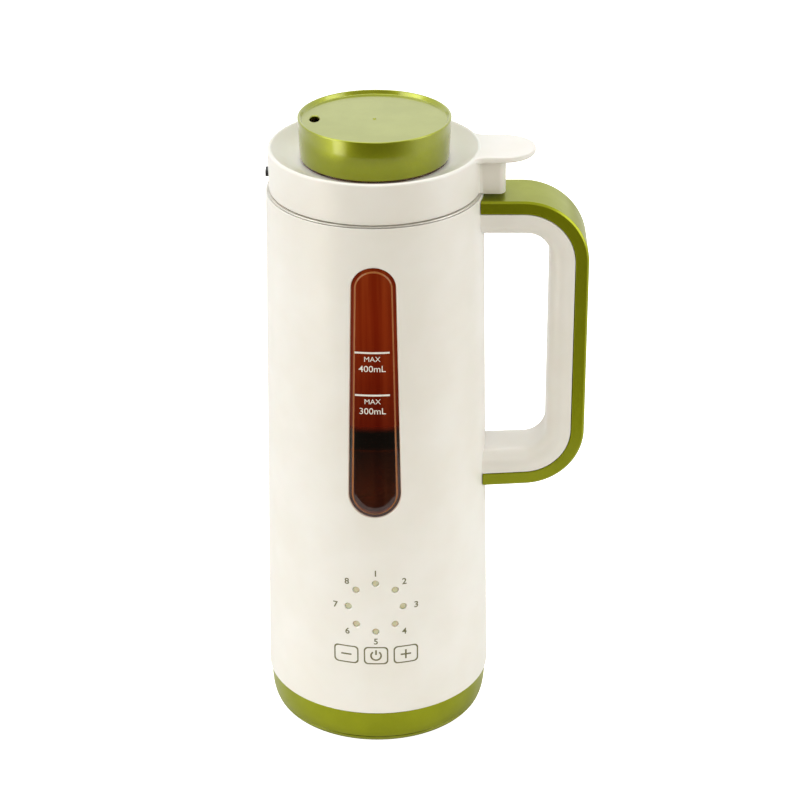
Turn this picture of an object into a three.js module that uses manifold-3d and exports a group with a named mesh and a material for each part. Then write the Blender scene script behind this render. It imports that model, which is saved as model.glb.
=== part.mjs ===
// Soy milk maker: a slim heated blending jug in a conical moulded housing, with a lift-off lid,
// a stopper cap in the lid, a D-shaped handle and a high-speed motor under a steel heating bowl.
// Millimetres, +Z up, +X to the handle, -Y to the front. The origin is on the axis, at the table.

import * as THREE from 'three';
import { mergeVertices } from 'three/addons/utils/BufferGeometryUtils.js';
import Module from 'manifold-3d';

// Fits, cuts and facets
const fitGap = 0.3;
const runGap = 0.3;
const overrun = 2;
const weldDistance = 0.0001;
const shellSides = 36;
const innerSides = 24;
const rodSides = 12;
const pinSides = 8;
const filletSteps = 3;

// Conical outer housing with the hand grip moulded on
const housingBottomRadius = 48;
const housingTopRadius = 44.3;
const housingHeight = 222.7;
const housingWall = 2.2;

// Green base skirt, with a spigot that the housing is pushed over
const baseHeight = 16.5;
const baseStep = 0.94;
const baseTuck = 7.6;
const baseRoundness = 2.9;
const baseCurveSteps = 5;
const baseInnerSteps = 2;
const baseWall = 2;
const spigotHeight = 5;
const spigotWall = 1.8;

// Bottom cover, its vents, feet and screws
const coverSetback = 3.6;
const coverThickness = 2;
const ventCount = 6;
const ventWidth = 2;
const ventInnerRadius = 8;
const ventOuterRadius = 19;
const footCount = 4;
const footRadius = 5;
const footHeight = 1.4;
const footProud = 1;
const footInset = 8;
const coverScrewCount = 4;
const coverScrewInset = 4.5;
const coverScrewLength = 9;
const coverHeadHeight = 0.9;
const baseBossRadius = 3.6;
const baseBossHeight = 9;
const baseRibWidth = 2.4;
const baseRibReach = 10.5;

// Screws
const screwRadius = 1.5;
const screwHeadRadius = 2.9;
const screwHeadHeight = 1.7;

// Power board on the posts of the bottom cover
const powerBoardInset = 4.3;
const boardThickness = 1.6;
const boardPostCount = 4;
const boardPostInset = 4.2;
const boardPostRadius = 2.5;
const boardPostHeight = 8.7;
const capacitorRadius = 3.6;
const capacitorLength = 16;
const capacitorInset = 12;
const transformerWidth = 15;
const transformerDepth = 12;
const transformerHeight = 7.2;
const relayWidth = 12;
const relayDepth = 8;
const relayHeight = 8;
const relayInset = 11;

// Drive shaft, motor and fan
const shaftRadius = 3;
const shaftBelowFan = 2;
const shaftStepRise = 3.4;
const bladeSeatRadius = 2.5;
const fanClearance = 5.4;
const fanMotorClearance = 3.4;
const fanHeight = 8;
const fanRadius = 24;
const fanHubRadius = 7;
const fanPlate = 1.5;
const fanBladeCount = 7;
const fanBladeThickness = 1.2;
const motorRadius = 21;
const motorWall = 1.5;
const motorEndRoom = 9;
const motorTopPlate = 5;
const endCapThickness = 4;
const upperBearingRadius = 8;
const upperBearingHeight = 4;
const lowerBearingRadius = 6.2;
const lowerBearingHeight = 4;
const magnetThickness = 3.9;
const magnetArcAngle = 2.3;
const magnetLength = 33;
const magnetCount = 2;
const rotorRadius = 14;
const rotorLength = 30;
const rotorSlotCount = 6;
const rotorSlotShare = 0.3;
const rotorSlotDepth = 5;
const toothSteps = 2;
const windingRadius = 12;
const windingOverhang = 2.5;
const windingClearance = 1;
const rotorSleeveRadius = 4.6;
const commutatorRadius = 7;
const commutatorLength = 6.5;
const commutatorAbove = 1.8;
const brushWidth = 5;
const brushHeight = 4;
const brushLength = 8;
const brushHolderWall = 1;
const brushHolderLength = 7;

// Motor bracket with three uprights that carry the bowl's flange
const bracketThickness = 3;
const bracketSideGap = 0.5;
const bracketHoleRadius = 5;
const bracketWindowCount = 3;
const bracketWindowRadius = 5;
const bracketWindowCircle = 26;
const uprightCount = 3;
const uprightThickness = 1.5;
const uprightArcAngle = 0.42;
const bracketScrewCount = 3;
const bracketScrewInset = 6.6;
const bracketScrewLength = 9;
const bracketBossRadius = 3.8;
const bracketBossHeight = 7.4;
const bracketRibWidth = 3;
const bracketScrewHeadHeight = 1.7;
const motorScrewCount = 2;
const motorScrewCircle = 12.5;
const motorScrewLength = 7;

// Steel heating bowl, its heater, seals and sensor
const bowlFloorRise = 10;
const bowlDepth = 10.5;
const bowlWall = 1;
const bowlCorner = 7;
const bowlFlange = 1.1;
const heaterInset = 9.3;
const heaterWidth = 10;
const heaterHeight = 6;
const heaterChamfer = 1.6;
const terminalRadius = 1.8;
const terminalLength = 6;
const terminalAngle = 0.26;
const shaftSealRadius = 8;
const shaftSealFlange = 10.5;
const shaftSealTop = 2;
const shaftSealDepth = 4.5;
const sensorRadius = 2.5;
const sensorHeight = 6;
const cupSealHeight = 1.5;

// Amber jug sleeve above the bowl
const cupWall = 1.8;
const cupSleeveGap = 1.75;

// Steel ledge ring over the housing's and the jug's top edges
const rimThickness = 0.5;
const rimSetback = 0.3;
const rimSkirtDepth = 4.5;
const rimSkirtThickness = 0.6;

// Blades
const bladeThickness = 1.2;
const bladeHubRadius = 5.5;
const bladeRootWidth = 8;
const bladeTipWidth = 4.5;
const bladeBevel = 1.6;
const upperBladeTip = 20;
const upperBladeRise = 6.5;
const upperBladeTurn = 1.94;
const lowerBladeTip = 19;
const lowerBladeRise = 1.6;
const lowerBladeTurn = 0.37;
const bladeRadiusShares = [0.17, 0.42, 0.72, 1];
const bladeRiseShares = [0, 0, 0.42, 1];
const nutRadius = 4.6;
const nutHeight = 3.4;
const nutDomeHeight = 2.4;
const nutSides = 6;

// Window in the front of the housing
const windowDrop = 16.5;
const windowRise = 2;
const windowTopHalfWidth = 9.15;
const windowBottomHalfWidth = 10.9;
const windowArcSteps = 10;
const lensSink = 0.1;
const lensFlange = 2.4;
const lensFlangeThickness = 0.6;

// Control panel: indicator lights in a ring over three touch keys
const ringDrop = 15;
const ringRadius = 11.6;
const indicatorCount = 8;
const indicatorRadius = 1.5;
const indicatorSink = 0.5;
const guideThickness = 1.2;
const guideHalfWidth = 1.6;
const keyDrop = 23.2;
const keySpacing = 12.6;
const keyCount = 3;
const touchSpringRadius = 2.6;
const touchSpringWire = 0.4;
const touchSpringTurns = 2;
const touchSpringSteps = 8;
const touchSpringSides = 5;
const controlBoardClearance = 2.26;
const controlBoardHalfWidth = 18.6;
const controlBoardMargin = 10.8;
const controlBoardDrop = 1.6;
const boardRailWidth = 2;
const controllerSize = 9;
const controllerHeight = 1.6;
const connectorWidth = 14;
const connectorDepth = 6;
const connectorHeight = 6;
const connectorRise = 4;

// Mains inlet in the back
const inletLevel = 38;
const inletWidth = 27;
const inletHeight = 19.6;
const inletDepth = 17;
const inletWall = 1.7;
const inletBack = 3;
const inletCorner = 4;
const inletFlange = 2.2;
const inletFlangeThickness = 1.5;
const inletSetback = 0.96;
const inletPadDepth = 3.2;
const inletPinWidth = 2;
const inletPinHeight = 4;
const inletPinLength = 16;
const inletPinSpacing = 7;
const inletEarthRise = 2;
const inletPinSink = 2;

// Grip moulded on the housing, and the green cover that closes its open channel
const gripWidth = 25.6;
const gripDrop = 1.2;
const gripStand = 39.2;
const gripSpan = 129.5;
const gripRootInset = 1;
const gripRootDepth = 6.3;
const gripTopRadius = 27;
const gripBottomRadius = 25.5;
const gripBottomRise = 0.057;
const gripCoverThickness = 5.4;
const gripCoverThicknessBelow = 5.6;
const gripCoverWall = 1.8;
const gripCoverChamfer = 1;
const gripTopDepth = 15.5;
const gripSideDepth = 15.65;
const gripBottomDepth = 15.6;
const gripHoleBottomRise = 0.03;
const gripHoleRadius = 10;
const gripEdgeRadius = 6;
const gripChannelWidth = 15;
const gripChannelFloor = 2;
const gripArcSteps = 8;
const wireHoleRadius = 2.2;
const lidSensorStand = 2.7;
const lidSensorLength = 9;
const lidSensorWidth = 11;
const lidSensorHeight = 2.6;

// Lid
const lidSetback = 1.3;
const lidFlare = 0.35;
const lidHeight = 17;
const lidEdgeRadius = 1;
const lidRimWidth = 0.4;
const lidWall = 2.2;
const lidRestGap = 0.4;
const dishDepth = 5;
const dishSteps = 4;
const dishWidth = 11.75;
const seatWidth = 4.8;
const tabLength = 21.65;
const tabHalfWidth = 13.4;
const tabTipLength = 13.6;
const tabFillet = 6;
const tabThickness = 2.6;
const tabDrop = 0.2;
const tabSteps = 10;
const blockLength = 9.55;
const blockHalfWidth = 8.4;
const blockCorner = 3;
const blockFlare = 4;
const blockRootDepth = 3;
const blockDrop = 0.8;
const magnetPocketRadius = 3.6;
const magnetPocketDepth = 5;
const lidMagnetInset = 6.2;
const lidMagnetHeight = 4.2;
const pourLevelInLid = 5.7;
const pourWidth = 6;
const pourHeight = 3;
const pourWall = 0.6;
const pourProud = 0.9;
const pourInside = 1.2;

// Liner under the lid and its seal in the jug's mouth
const linerDepth = 11.7;
const linerSideGap = 1.5;
const linerWall = 1.6;
const linerRise = 1.4;
const linerTubeWall = 1.6;
const linerPortInset = 1.1;
const linerPortHalfAngle = 0.3;
const lidSealHeight = 3;
const lidSealRise = 3;
const lidSealBite = 0.35;
const lidSealGroove = 0.7;

// Stopper cap in the lid
const capSeatGap = 1.4;
const capFlare = 0.8;
const capHeight = 16.6;
const capEdgeRadius = 1;
const capWall = 2;
const capRimWidth = 0.5;
const capDish = 0.7;
const capDishSlope = 0.4;
const capVentRadius = 2.15;
const capVentInset = 6.9;
const capVentAngle = 3.26;
const plugFlangeThickness = 0.6;
const plugFlangeSetback = 0.4;
const plugClearance = 0.8;
const plugGasketBite = 0.4;
const plugDepth = 13;
const plugWall = 1.8;
const plugGrooveDepth = 0.8;
const plugGrooveLevel = 5.4;
const plugVentRadius = 1.8;
const gasketHeight = 3;

// Levels worked out from the sizes above
const fullTurn = Math.PI * 2;
const quarterTurn = Math.PI / 2;
const shoulderLevel = footProud + baseHeight;
const seamLevel = shoulderLevel + fitGap;
const housingTopLevel = seamLevel + housingHeight;
const rimLevel = housingTopLevel + fitGap;
const lidLevel = rimLevel + rimThickness + lidRestGap;
const powerBoardLevel = footProud + coverThickness + boardPostHeight + fitGap;
const fanLevel = powerBoardLevel + boardThickness + fanClearance;
const shaftBottomLevel = fanLevel - shaftBelowFan;
const endCapTop = fanLevel + fanHeight + fanMotorClearance + endCapThickness;
const motorBottomLevel = endCapTop + fitGap;
const windingLength = rotorLength + 2 * windingOverhang;
const motorLength = motorTopPlate + windingClearance + windingLength + motorEndRoom;
const motorTopLevel = motorBottomLevel + motorLength;
const bracketLevel = motorTopLevel + fitGap;
const controlBoardTop = bracketLevel - controlBoardDrop;
const ringLevel = bracketLevel - ringDrop;
const keyLevel = ringLevel - keyDrop;
const controlBoardBottom = keyLevel - controlBoardMargin;
const bowlFloorLevel = bracketLevel + bracketThickness + bowlFloorRise;
const shaftStepLevel = bowlFloorLevel + shaftStepRise;
const bowlRimLevel = bowlFloorLevel + bowlDepth;
const cupSealLevel = bowlRimLevel + fitGap;
const cupBottomLevel = cupSealLevel + cupSealHeight + fitGap;
const windowBottomLevel = cupBottomLevel + windowRise;
const windowTopLevel = housingTopLevel - windowDrop;
const gripTopLevel = housingTopLevel - gripDrop;
const gripBottomLevel = gripTopLevel - gripSpan;
const gripHoleTopLevel = gripTopLevel - gripTopDepth;
const gripHoleBottomLevel = gripBottomLevel + gripBottomDepth;

function housingRadius(level) {
  const share = (level - seamLevel) / housingHeight;
  return housingBottomRadius + (housingTopRadius - housingBottomRadius) * share;
}

function cupOuterRadius(level) {
  return housingRadius(level) - housingWall - cupSleeveGap;
}

function cupInnerRadius(level) {
  return cupOuterRadius(level) - cupWall;
}

// The housing's face in front of a point of the panel, as a distance from the axis
function faceDepth(x, level, offset) {
  const radius = housingRadius(level) + offset;
  return Math.sqrt(radius * radius - x * x);
}

// Radii and reaches worked out from the housing
const baseFloorRadius = housingBottomRadius - baseTuck;
const coverRadius = baseFloorRadius - coverSetback;
const footCircle = coverRadius - footInset;
const coverScrewCircle = coverRadius - coverScrewInset;
const powerBoardRadius = coverScrewCircle - powerBoardInset;
const boardPostCircle = powerBoardRadius - boardPostInset;
const capacitorOffset = boardPostCircle - capacitorInset;
const relayOffset = boardPostCircle - relayInset;
const bracketScrewCircle = housingRadius(bracketLevel) - housingWall - bracketScrewInset;
const bowlInnerRadius = cupInnerRadius(bowlRimLevel);
const heaterOuterRadius = bowlInnerRadius - heaterInset;
const heaterInnerRadius = heaterOuterRadius - heaterWidth;
const sensorOffset = (heaterInnerRadius + shaftSealRadius) / 2;
const controlBoardFace = faceDepth(controlBoardHalfWidth, controlBoardTop, -housingWall);
const controlBoardFront = controlBoardFace - controlBoardClearance;
const inletFaceOffset = housingRadius(inletLevel) - inletSetback;
const gripReach = housingBottomRadius + gripStand;
const gripHoleReach = gripReach - gripSideDepth;
const gripRootOffset = housingBottomRadius - gripRootInset;
const gripRootStart = housingTopRadius - gripRootDepth;
const lidBottomRadius = housingTopRadius - lidSetback;
const lidTopRadius = lidBottomRadius + lidFlare;
const seatRadius = lidTopRadius - dishWidth;
const feedHoleRadius = seatRadius - seatWidth;
const tabReach = lidTopRadius + tabLength;
const blockReach = lidTopRadius + blockLength;
const blockRootOffset = lidBottomRadius - blockRootDepth;
const lidMagnetOffset = blockReach - lidMagnetInset;
const capBottomRadius = seatRadius - capSeatGap;
const capTopRadius = capBottomRadius + capFlare;
const capVentOffset = capTopRadius - capVentInset;
const plugRadius = feedHoleRadius - plugClearance;

// Joining and cutting
const wasm = await Module();
wasm.setup();

function toSolid(geometry) {
  const bare = geometry.clone();
  bare.deleteAttribute('normal');
  bare.deleteAttribute('uv');
  const merged = mergeVertices(bare, weldDistance);
  const vertProperties = merged.attributes.position.array;
  const triVerts = new Uint32Array(merged.index.array);
  const made = new wasm.Manifold(new wasm.Mesh({ numProp: 3, vertProperties, triVerts }));
  if (made.volume() >= 0) return made;
  triVerts.reverse();
  return new wasm.Manifold(new wasm.Mesh({ numProp: 3, vertProperties, triVerts }));
}

function toGeometry(made) {
  const mesh = made.getMesh();
  const geometry = new THREE.BufferGeometry();
  geometry.setAttribute('position', new THREE.BufferAttribute(mesh.vertProperties, mesh.numProp));
  geometry.setIndex(new THREE.BufferAttribute(mesh.triVerts, 1));
  return geometry;
}

function join(first, ...others) {
  return toGeometry(others.map(toSolid).reduce((sum, other) => sum.add(other), toSolid(first)));
}

function cut(body, ...tools) {
  return toGeometry(tools.map(toSolid).reduce((rest, tool) => rest.subtract(tool), toSolid(body)));
}

function overlapOf(first, second) {
  return toGeometry(toSolid(first).intersect(toSolid(second)));
}

// Shapes
function turned(profile, sides = shellSides) {
  const points = profile.map(([radius, level]) => new THREE.Vector2(radius, level));
  return new THREE.LatheGeometry(points, sides).rotateX(quarterTurn);
}

function ring(inner, outer, bottom, top, sides = shellSides) {
  return turned([[inner, bottom], [outer, bottom], [outer, top], [inner, top], [inner, bottom]], sides);
}

function rod(radius, bottom, top, sides = rodSides) {
  const made = new THREE.CylinderGeometry(radius, radius, top - bottom, sides);
  return made.rotateX(quarterTurn).translate(0, 0, (top + bottom) / 2);
}

function block(width, depth, bottom, top) {
  return new THREE.BoxGeometry(width, depth, top - bottom).translate(0, 0, (top + bottom) / 2);
}

function prism(shape, bottom, top, curveSegments = filletSteps) {
  const settings = { depth: top - bottom, bevelEnabled: false, curveSegments };
  return new THREE.ExtrudeGeometry(shape, settings).translate(0, 0, bottom);
}

// A prism whose outline is drawn in X and Z and which runs along Y from near to far
function frontPrism(shape, near, far, curveSegments = filletSteps) {
  return prism(shape, -far, -near, curveSegments).rotateX(quarterTurn);
}

function sector(inner, outer, middle, halfAngle) {
  const shape = new THREE.Shape();
  shape.absarc(0, 0, outer, middle - halfAngle, middle + halfAngle, false);
  shape.absarc(0, 0, inner, middle + halfAngle, middle - halfAngle, true);
  return shape;
}

function roundedRectangle(width, height, radius) {
  const shape = new THREE.Shape();
  const x = width / 2 - radius;
  const y = height / 2 - radius;
  shape.absarc(x, y, radius, 0, quarterTurn, false);
  shape.absarc(-x, y, radius, quarterTurn, Math.PI, false);
  shape.absarc(-x, -y, radius, Math.PI, Math.PI + quarterTurn, false);
  shape.absarc(x, -y, radius, Math.PI + quarterTurn, fullTurn, false);
  return shape;
}

// Where copies stand round a circle
function around(count, radius, start = 0) {
  return Array.from({ length: count }, (_, i) => {
    const angle = start + (fullTurn * i) / count;
    return { angle, x: radius * Math.cos(angle), y: radius * Math.sin(angle) };
  });
}

// A closed body through rings of points, each ring a copy of a flat section
function loft(rings, section) {
  const count = section.length;
  const faces = [];
  for (let i = 0; i + 1 < rings.length; i++) {
    for (let j = 0; j < count; j++) {
      const a = i * count + j;
      const b = i * count + ((j + 1) % count);
      faces.push(a, b, b + count, a, b + count, a + count);
    }
  }
  const last = (rings.length - 1) * count;
  const turn = THREE.ShapeUtils.area(section) > 0;
  for (const [a, b, c] of THREE.ShapeUtils.triangulateShape(section, [])) {
    const corner = THREE.ShapeUtils.area([section[a], section[b], section[c]]) > 0;
    const [p, q] = corner === turn ? [b, c] : [c, b];
    faces.push(a, q, p, last + a, last + p, last + q);
  }
  return new THREE.BufferGeometry().setFromPoints(rings.flat()).setIndex(faces);
}

// The space inside the housing's outside, made wider or narrower by an offset
function cone(offset) {
  const bottom = seamLevel - overrun;
  const top = housingTopLevel + overrun;
  return turned([
    [0, bottom],
    [housingRadius(bottom) + offset, bottom],
    [housingRadius(top) + offset, top],
    [0, top],
  ]);
}

// Grip rails, seen from the side: out along the top arm, down the grip, back along the lower arm
function gripRail({ top, side, bottom, rise, topRadius, bottomRadius }) {
  const points = [new THREE.Vector2(gripRootStart, top)];
  for (let i = 0; i <= gripArcSteps; i++) {
    const angle = quarterTurn * (1 - i / gripArcSteps);
    points.push(
      new THREE.Vector2(
        side - topRadius + topRadius * Math.cos(angle),
        top - topRadius + topRadius * Math.sin(angle),
      ),
    );
  }
  const lean = Math.atan(rise);
  const lowerCentreX = side - bottomRadius;
  const lowerCentreZ = bottom + rise * (lowerCentreX - gripRootOffset) + bottomRadius / Math.cos(lean);
  for (let i = 0; i <= gripArcSteps; i++) {
    const angle = (-(quarterTurn - lean) * i) / gripArcSteps;
    points.push(
      new THREE.Vector2(
        lowerCentreX + bottomRadius * Math.cos(angle),
        lowerCentreZ + bottomRadius * Math.sin(angle),
      ),
    );
  }
  points.push(new THREE.Vector2(gripRootStart, bottom + rise * (gripRootStart - gripRootOffset)));
  return points;
}

const gripOuterRail = gripRail({
  top: gripTopLevel,
  side: gripReach,
  bottom: gripBottomLevel,
  rise: gripBottomRise,
  topRadius: gripTopRadius,
  bottomRadius: gripBottomRadius,
});
const gripSeamRail = gripRail({
  top: gripTopLevel - gripCoverThickness,
  side: gripReach - gripCoverThickness,
  bottom: gripBottomLevel + gripCoverThicknessBelow,
  rise: gripBottomRise,
  topRadius: gripTopRadius - gripCoverThickness,
  bottomRadius: gripBottomRadius - gripCoverThickness,
});
const gripHoleRail = gripRail({
  top: gripHoleTopLevel,
  side: gripHoleReach,
  bottom: gripHoleBottomLevel,
  rise: gripHoleBottomRise,
  topRadius: gripHoleRadius,
  bottomRadius: gripHoleRadius,
});

// A body swept round the grip between two rails; its section is drawn across the grip and towards rail
function gripLoft(from, towards, sectionOf) {
  const sections = from.map((point, i) => sectionOf(point.distanceTo(towards[i])));
  const rings = from.map((point, i) => {
    const inward = towards[i].clone().sub(point).normalize();
    return sections[i].map(({ x: across, y: depth }) => {
      return new THREE.Vector3(point.x + inward.x * depth, across, point.y + inward.y * depth);
    });
  });
  return loft(rings, sections[0]);
}

// The white grip is an open channel with strongly rounded edges on the side of the fingers
function gripSection(depth) {
  const half = gripWidth / 2;
  const arc = (side, i) => {
    const angle = (quarterTurn * i) / filletSteps;
    const x = side * (half - gripEdgeRadius + gripEdgeRadius * Math.cos(angle));
    return new THREE.Vector2(x, depth - gripEdgeRadius + gripEdgeRadius * Math.sin(angle));
  };
  const steps = Array.from({ length: filletSteps + 1 }, (_, i) => i);
  return [
    new THREE.Vector2(half, fitGap),
    ...steps.map((i) => arc(1, i)),
    ...steps.map((i) => arc(-1, filletSteps - i)),
    new THREE.Vector2(-half, fitGap),
    new THREE.Vector2(-gripChannelWidth / 2, fitGap),
    new THREE.Vector2(-gripChannelWidth / 2, depth - gripChannelFloor),
    new THREE.Vector2(gripChannelWidth / 2, depth - gripChannelFloor),
    new THREE.Vector2(gripChannelWidth / 2, fitGap),
  ];
}

// The green cover is a shallow trough with chamfered outer edges
function gripCoverSection(depth) {
  const half = gripWidth / 2;
  const inner = half - gripCoverWall;
  const side = (sign, order) => {
    const points = [
      new THREE.Vector2(sign * half, 0),
      new THREE.Vector2(sign * half, depth - gripCoverChamfer),
      new THREE.Vector2(sign * (half - gripCoverChamfer), depth),
    ];
    return order > 0 ? points : points.reverse();
  };
  return [
    ...side(1, 1),
    ...side(-1, -1),
    new THREE.Vector2(-inner, 0),
    new THREE.Vector2(-inner, depth - gripCoverWall),
    new THREE.Vector2(inner, depth - gripCoverWall),
    new THREE.Vector2(inner, 0),
  ];
}

// Window outline: a tall slot with round ends, a little wider below
function windowOutline(inset) {
  const topRadius = windowTopHalfWidth - inset;
  const bottomRadius = windowBottomHalfWidth - inset;
  const shape = new THREE.Shape();
  shape.absarc(0, windowTopLevel - windowTopHalfWidth, topRadius, 0, Math.PI, false);
  shape.absarc(0, windowBottomLevel + windowBottomHalfWidth, bottomRadius, Math.PI, fullTurn, false);
  return shape;
}

// Where the indicators stand in the panel, and where the keys' springs stand
const indicators = around(indicatorCount, ringRadius, quarterTurn);
const keys = Array.from({ length: keyCount }, (_, i) => (i - (keyCount - 1) / 2) * keySpacing);

// Outer housing
function outerHousing() {
  const shell = turned([
    [housingRadius(seamLevel) - housingWall, seamLevel],
    [housingRadius(seamLevel), seamLevel],
    [housingRadius(housingTopLevel), housingTopLevel],
    [housingRadius(housingTopLevel) - housingWall, housingTopLevel],
    [housingRadius(seamLevel) - housingWall, seamLevel],
  ]);
  const grip = cut(gripLoft(gripSeamRail, gripHoleRail, gripSection), cone(-housingWall / 2));

  const bossBottom = bracketLevel + bracketThickness + fitGap;
  const bosses = around(bracketScrewCount, bracketScrewCircle, quarterTurn).flatMap(({ angle, x, y }) => {
    const wallReach = housingRadius(bossBottom) - housingWall / 2 - bracketScrewCircle;
    const rib = block(wallReach, bracketRibWidth, bossBottom, bossBottom + bracketBossHeight);
    return [
      rod(bracketBossRadius, bossBottom, bossBottom + bracketBossHeight).translate(x, y, 0),
      rib.translate(bracketScrewCircle + wallReach / 2, 0, 0).rotateZ(angle),
    ];
  });
  const bores = around(bracketScrewCount, bracketScrewCircle, quarterTurn).map(({ x, y }) => {
    const depth = bracketScrewLength - bracketThickness;
    return rod(screwRadius + fitGap, bossBottom - overrun, bossBottom + depth, pinSides).translate(x, y, 0);
  });

  const railReach = housingWall + overrun;
  const rails = [-1, 1].map((side) => {
    const x = side * (controlBoardHalfWidth - boardRailWidth / 2);
    const rail = block(boardRailWidth, railReach + overrun, controlBoardBottom, controlBoardTop);
    return rail.translate(x, -controlBoardFront - fitGap - (railReach + overrun) / 2, 0);
  });

  const padWidth = inletWidth + 2 * (inletFlange + overrun);
  const padHeight = inletHeight + 2 * (inletFlange + overrun);
  const padFace = inletFaceOffset - inletFlangeThickness - fitGap;
  const pad = block(padWidth, inletPadDepth, inletLevel - padHeight / 2, inletLevel + padHeight / 2);
  pad.translate(0, padFace - inletPadDepth / 2, 0);
  const inside = overlapOf(join(rails[0], rails[1], pad), cone(-housingWall / 2));

  const recessWidth = inletWidth + 2 * (inletFlange + fitGap);
  const recessHeight = inletHeight + 2 * (inletFlange + fitGap);
  const flangeRecess = frontPrism(
    roundedRectangle(recessWidth, recessHeight, inletCorner),
    padFace,
    padFace + housingWall + overrun,
  ).translate(0, 0, inletLevel);
  const inletOpening = frontPrism(
    roundedRectangle(inletWidth + 2 * fitGap, inletHeight + 2 * fitGap, inletCorner - inletFlange),
    padFace - inletPadDepth - overrun,
    padFace + overrun,
  ).translate(0, 0, inletLevel);

  const slot = frontPrism(
    windowOutline(0),
    -housingBottomRadius - overrun,
    -housingTopRadius / 2,
    windowArcSteps,
  );
  const lightHoles = indicators.map(({ x, y }) => {
    const hole = rod(indicatorRadius, controlBoardFront, housingBottomRadius + overrun, pinSides);
    return hole.rotateX(quarterTurn).translate(x, 0, ringLevel + y);
  });
  const wireLevel = (gripBottomLevel + gripCoverThicknessBelow + gripHoleBottomLevel) / 2;
  const wireHole = rod(wireHoleRadius, housingTopRadius / 2, gripRootOffset + overrun, pinSides);
  wireHole.rotateY(quarterTurn).translate(0, 0, wireLevel);

  return cut(
    join(shell, grip, ...bosses, inside),
    ...bores,
    flangeRecess,
    inletOpening,
    slot,
    ...lightHoles,
    wireHole,
  );
}

// Base skirt: a superellipse from the shoulder down to the floor edge
function baseCurve(topRadius, bottomRadius, height, steps) {
  return Array.from({ length: steps + 1 }, (_, i) => {
    const angle = (quarterTurn * i) / steps;
    const power = 2 / baseRoundness;
    const across = Math.max(Math.cos(angle), 0) ** power;
    const down = Math.sin(angle) ** power;
    return [bottomRadius + (topRadius - bottomRadius) * across, shoulderLevel - height * down];
  });
}

function baseShell() {
  const topRadius = housingBottomRadius - baseStep;
  const outer = baseCurve(topRadius, baseFloorRadius, baseHeight, baseCurveSteps);
  const innerFloorRadius = baseFloorRadius - baseWall;
  const inner = baseCurve(topRadius - baseWall, innerFloorRadius, baseHeight - baseWall, baseInnerSteps);
  const spigotOuter = housingRadius(seamLevel + spigotHeight) - housingWall - fitGap;
  const spigotInner = spigotOuter - spigotWall;
  const spigotTop = shoulderLevel + spigotHeight;
  const innerBelowSpigot = inner.filter(([radius]) => radius < spigotInner);
  const lipRadius = coverRadius + fitGap;
  const shell = turned([
    ...outer,
    [lipRadius, footProud],
    [lipRadius, footProud + baseWall],
    ...innerBelowSpigot.reverse(),
    [spigotInner, shoulderLevel - baseWall],
    [spigotInner, spigotTop],
    [spigotOuter, spigotTop],
    [spigotOuter, shoulderLevel],
    outer[0],
  ]);
  const bossBottom = footProud + coverThickness + fitGap;
  const bosses = around(coverScrewCount, coverScrewCircle).flatMap(({ angle, x, y }) => {
    const rib = block(baseRibReach, baseRibWidth, bossBottom, bossBottom + baseBossHeight);
    return [
      rod(baseBossRadius, bossBottom, bossBottom + baseBossHeight).translate(x, y, 0),
      rib.translate(coverScrewCircle + baseRibReach / 2, 0, 0).rotateZ(angle),
    ];
  });
  const boreTop = footProud + coverHeadHeight + coverScrewLength + fitGap;
  const bores = around(coverScrewCount, coverScrewCircle).map(({ x, y }) => {
    return rod(screwRadius + fitGap, bossBottom - overrun, boreTop, pinSides).translate(x, y, 0);
  });
  return cut(join(shell, ...bosses), ...bores);
}

function bottomCover() {
  const top = footProud + coverThickness;
  const disc = rod(coverRadius, footProud, top, innerSides);
  const posts = around(boardPostCount, boardPostCircle).map(({ x, y }) => {
    return rod(boardPostRadius, footProud, top + boardPostHeight, pinSides).translate(x, y, 0);
  });
  const vents = around(ventCount, (ventInnerRadius + ventOuterRadius) / 2).map(({ angle, x, y }) => {
    const slot = block(ventOuterRadius - ventInnerRadius, ventWidth, footProud - overrun, top + overrun);
    return slot.rotateZ(angle).translate(x, y, 0);
  });
  const footRecesses = around(footCount, footCircle, quarterTurn / 2).map(({ x, y }) => {
    return rod(footRadius + fitGap, footProud - overrun, footHeight + fitGap).translate(x, y, 0);
  });
  const screwHoles = around(coverScrewCount, coverScrewCircle).flatMap(({ x, y }) => {
    const headTop = footProud + coverHeadHeight + fitGap;
    return [
      rod(screwRadius + fitGap, footProud - overrun, top + overrun, pinSides).translate(x, y, 0),
      rod(screwHeadRadius + fitGap, footProud - overrun, headTop, rodSides).translate(x, y, 0),
    ];
  });
  return cut(join(disc, ...posts), ...vents, ...footRecesses, ...screwHoles);
}

function powerBoard() {
  const under = powerBoardLevel;
  const board = rod(powerBoardRadius, under, under + boardThickness, innerSides);
  const capacitor = rod(capacitorRadius, -capacitorLength / 2, capacitorLength / 2, pinSides);
  capacitor.rotateY(quarterTurn).translate(0, -capacitorOffset, under - capacitorRadius + fitGap);
  const transformer = block(transformerWidth, transformerDepth, under - transformerHeight, under + fitGap);
  const relay = block(relayWidth, relayDepth, under - relayHeight, under + fitGap);
  return join(board, capacitor, transformer, relay.translate(0, relayOffset, 0));
}

// Window lens: it fills the slot and has a thin flange behind the housing's wall
function windowLens() {
  const near = -housingBottomRadius - overrun;
  const far = -housingTopRadius / 2;
  const insideWall = housingWall + fitGap;
  const body = overlapOf(frontPrism(windowOutline(fitGap), near, far, windowArcSteps), cone(-lensSink));
  const wide = frontPrism(windowOutline(-lensFlange), near, far, windowArcSteps);
  const flange = overlapOf(wide, cone(-insideWall));
  return cut(join(body, flange), cone(-insideWall - lensFlangeThickness));
}

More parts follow.
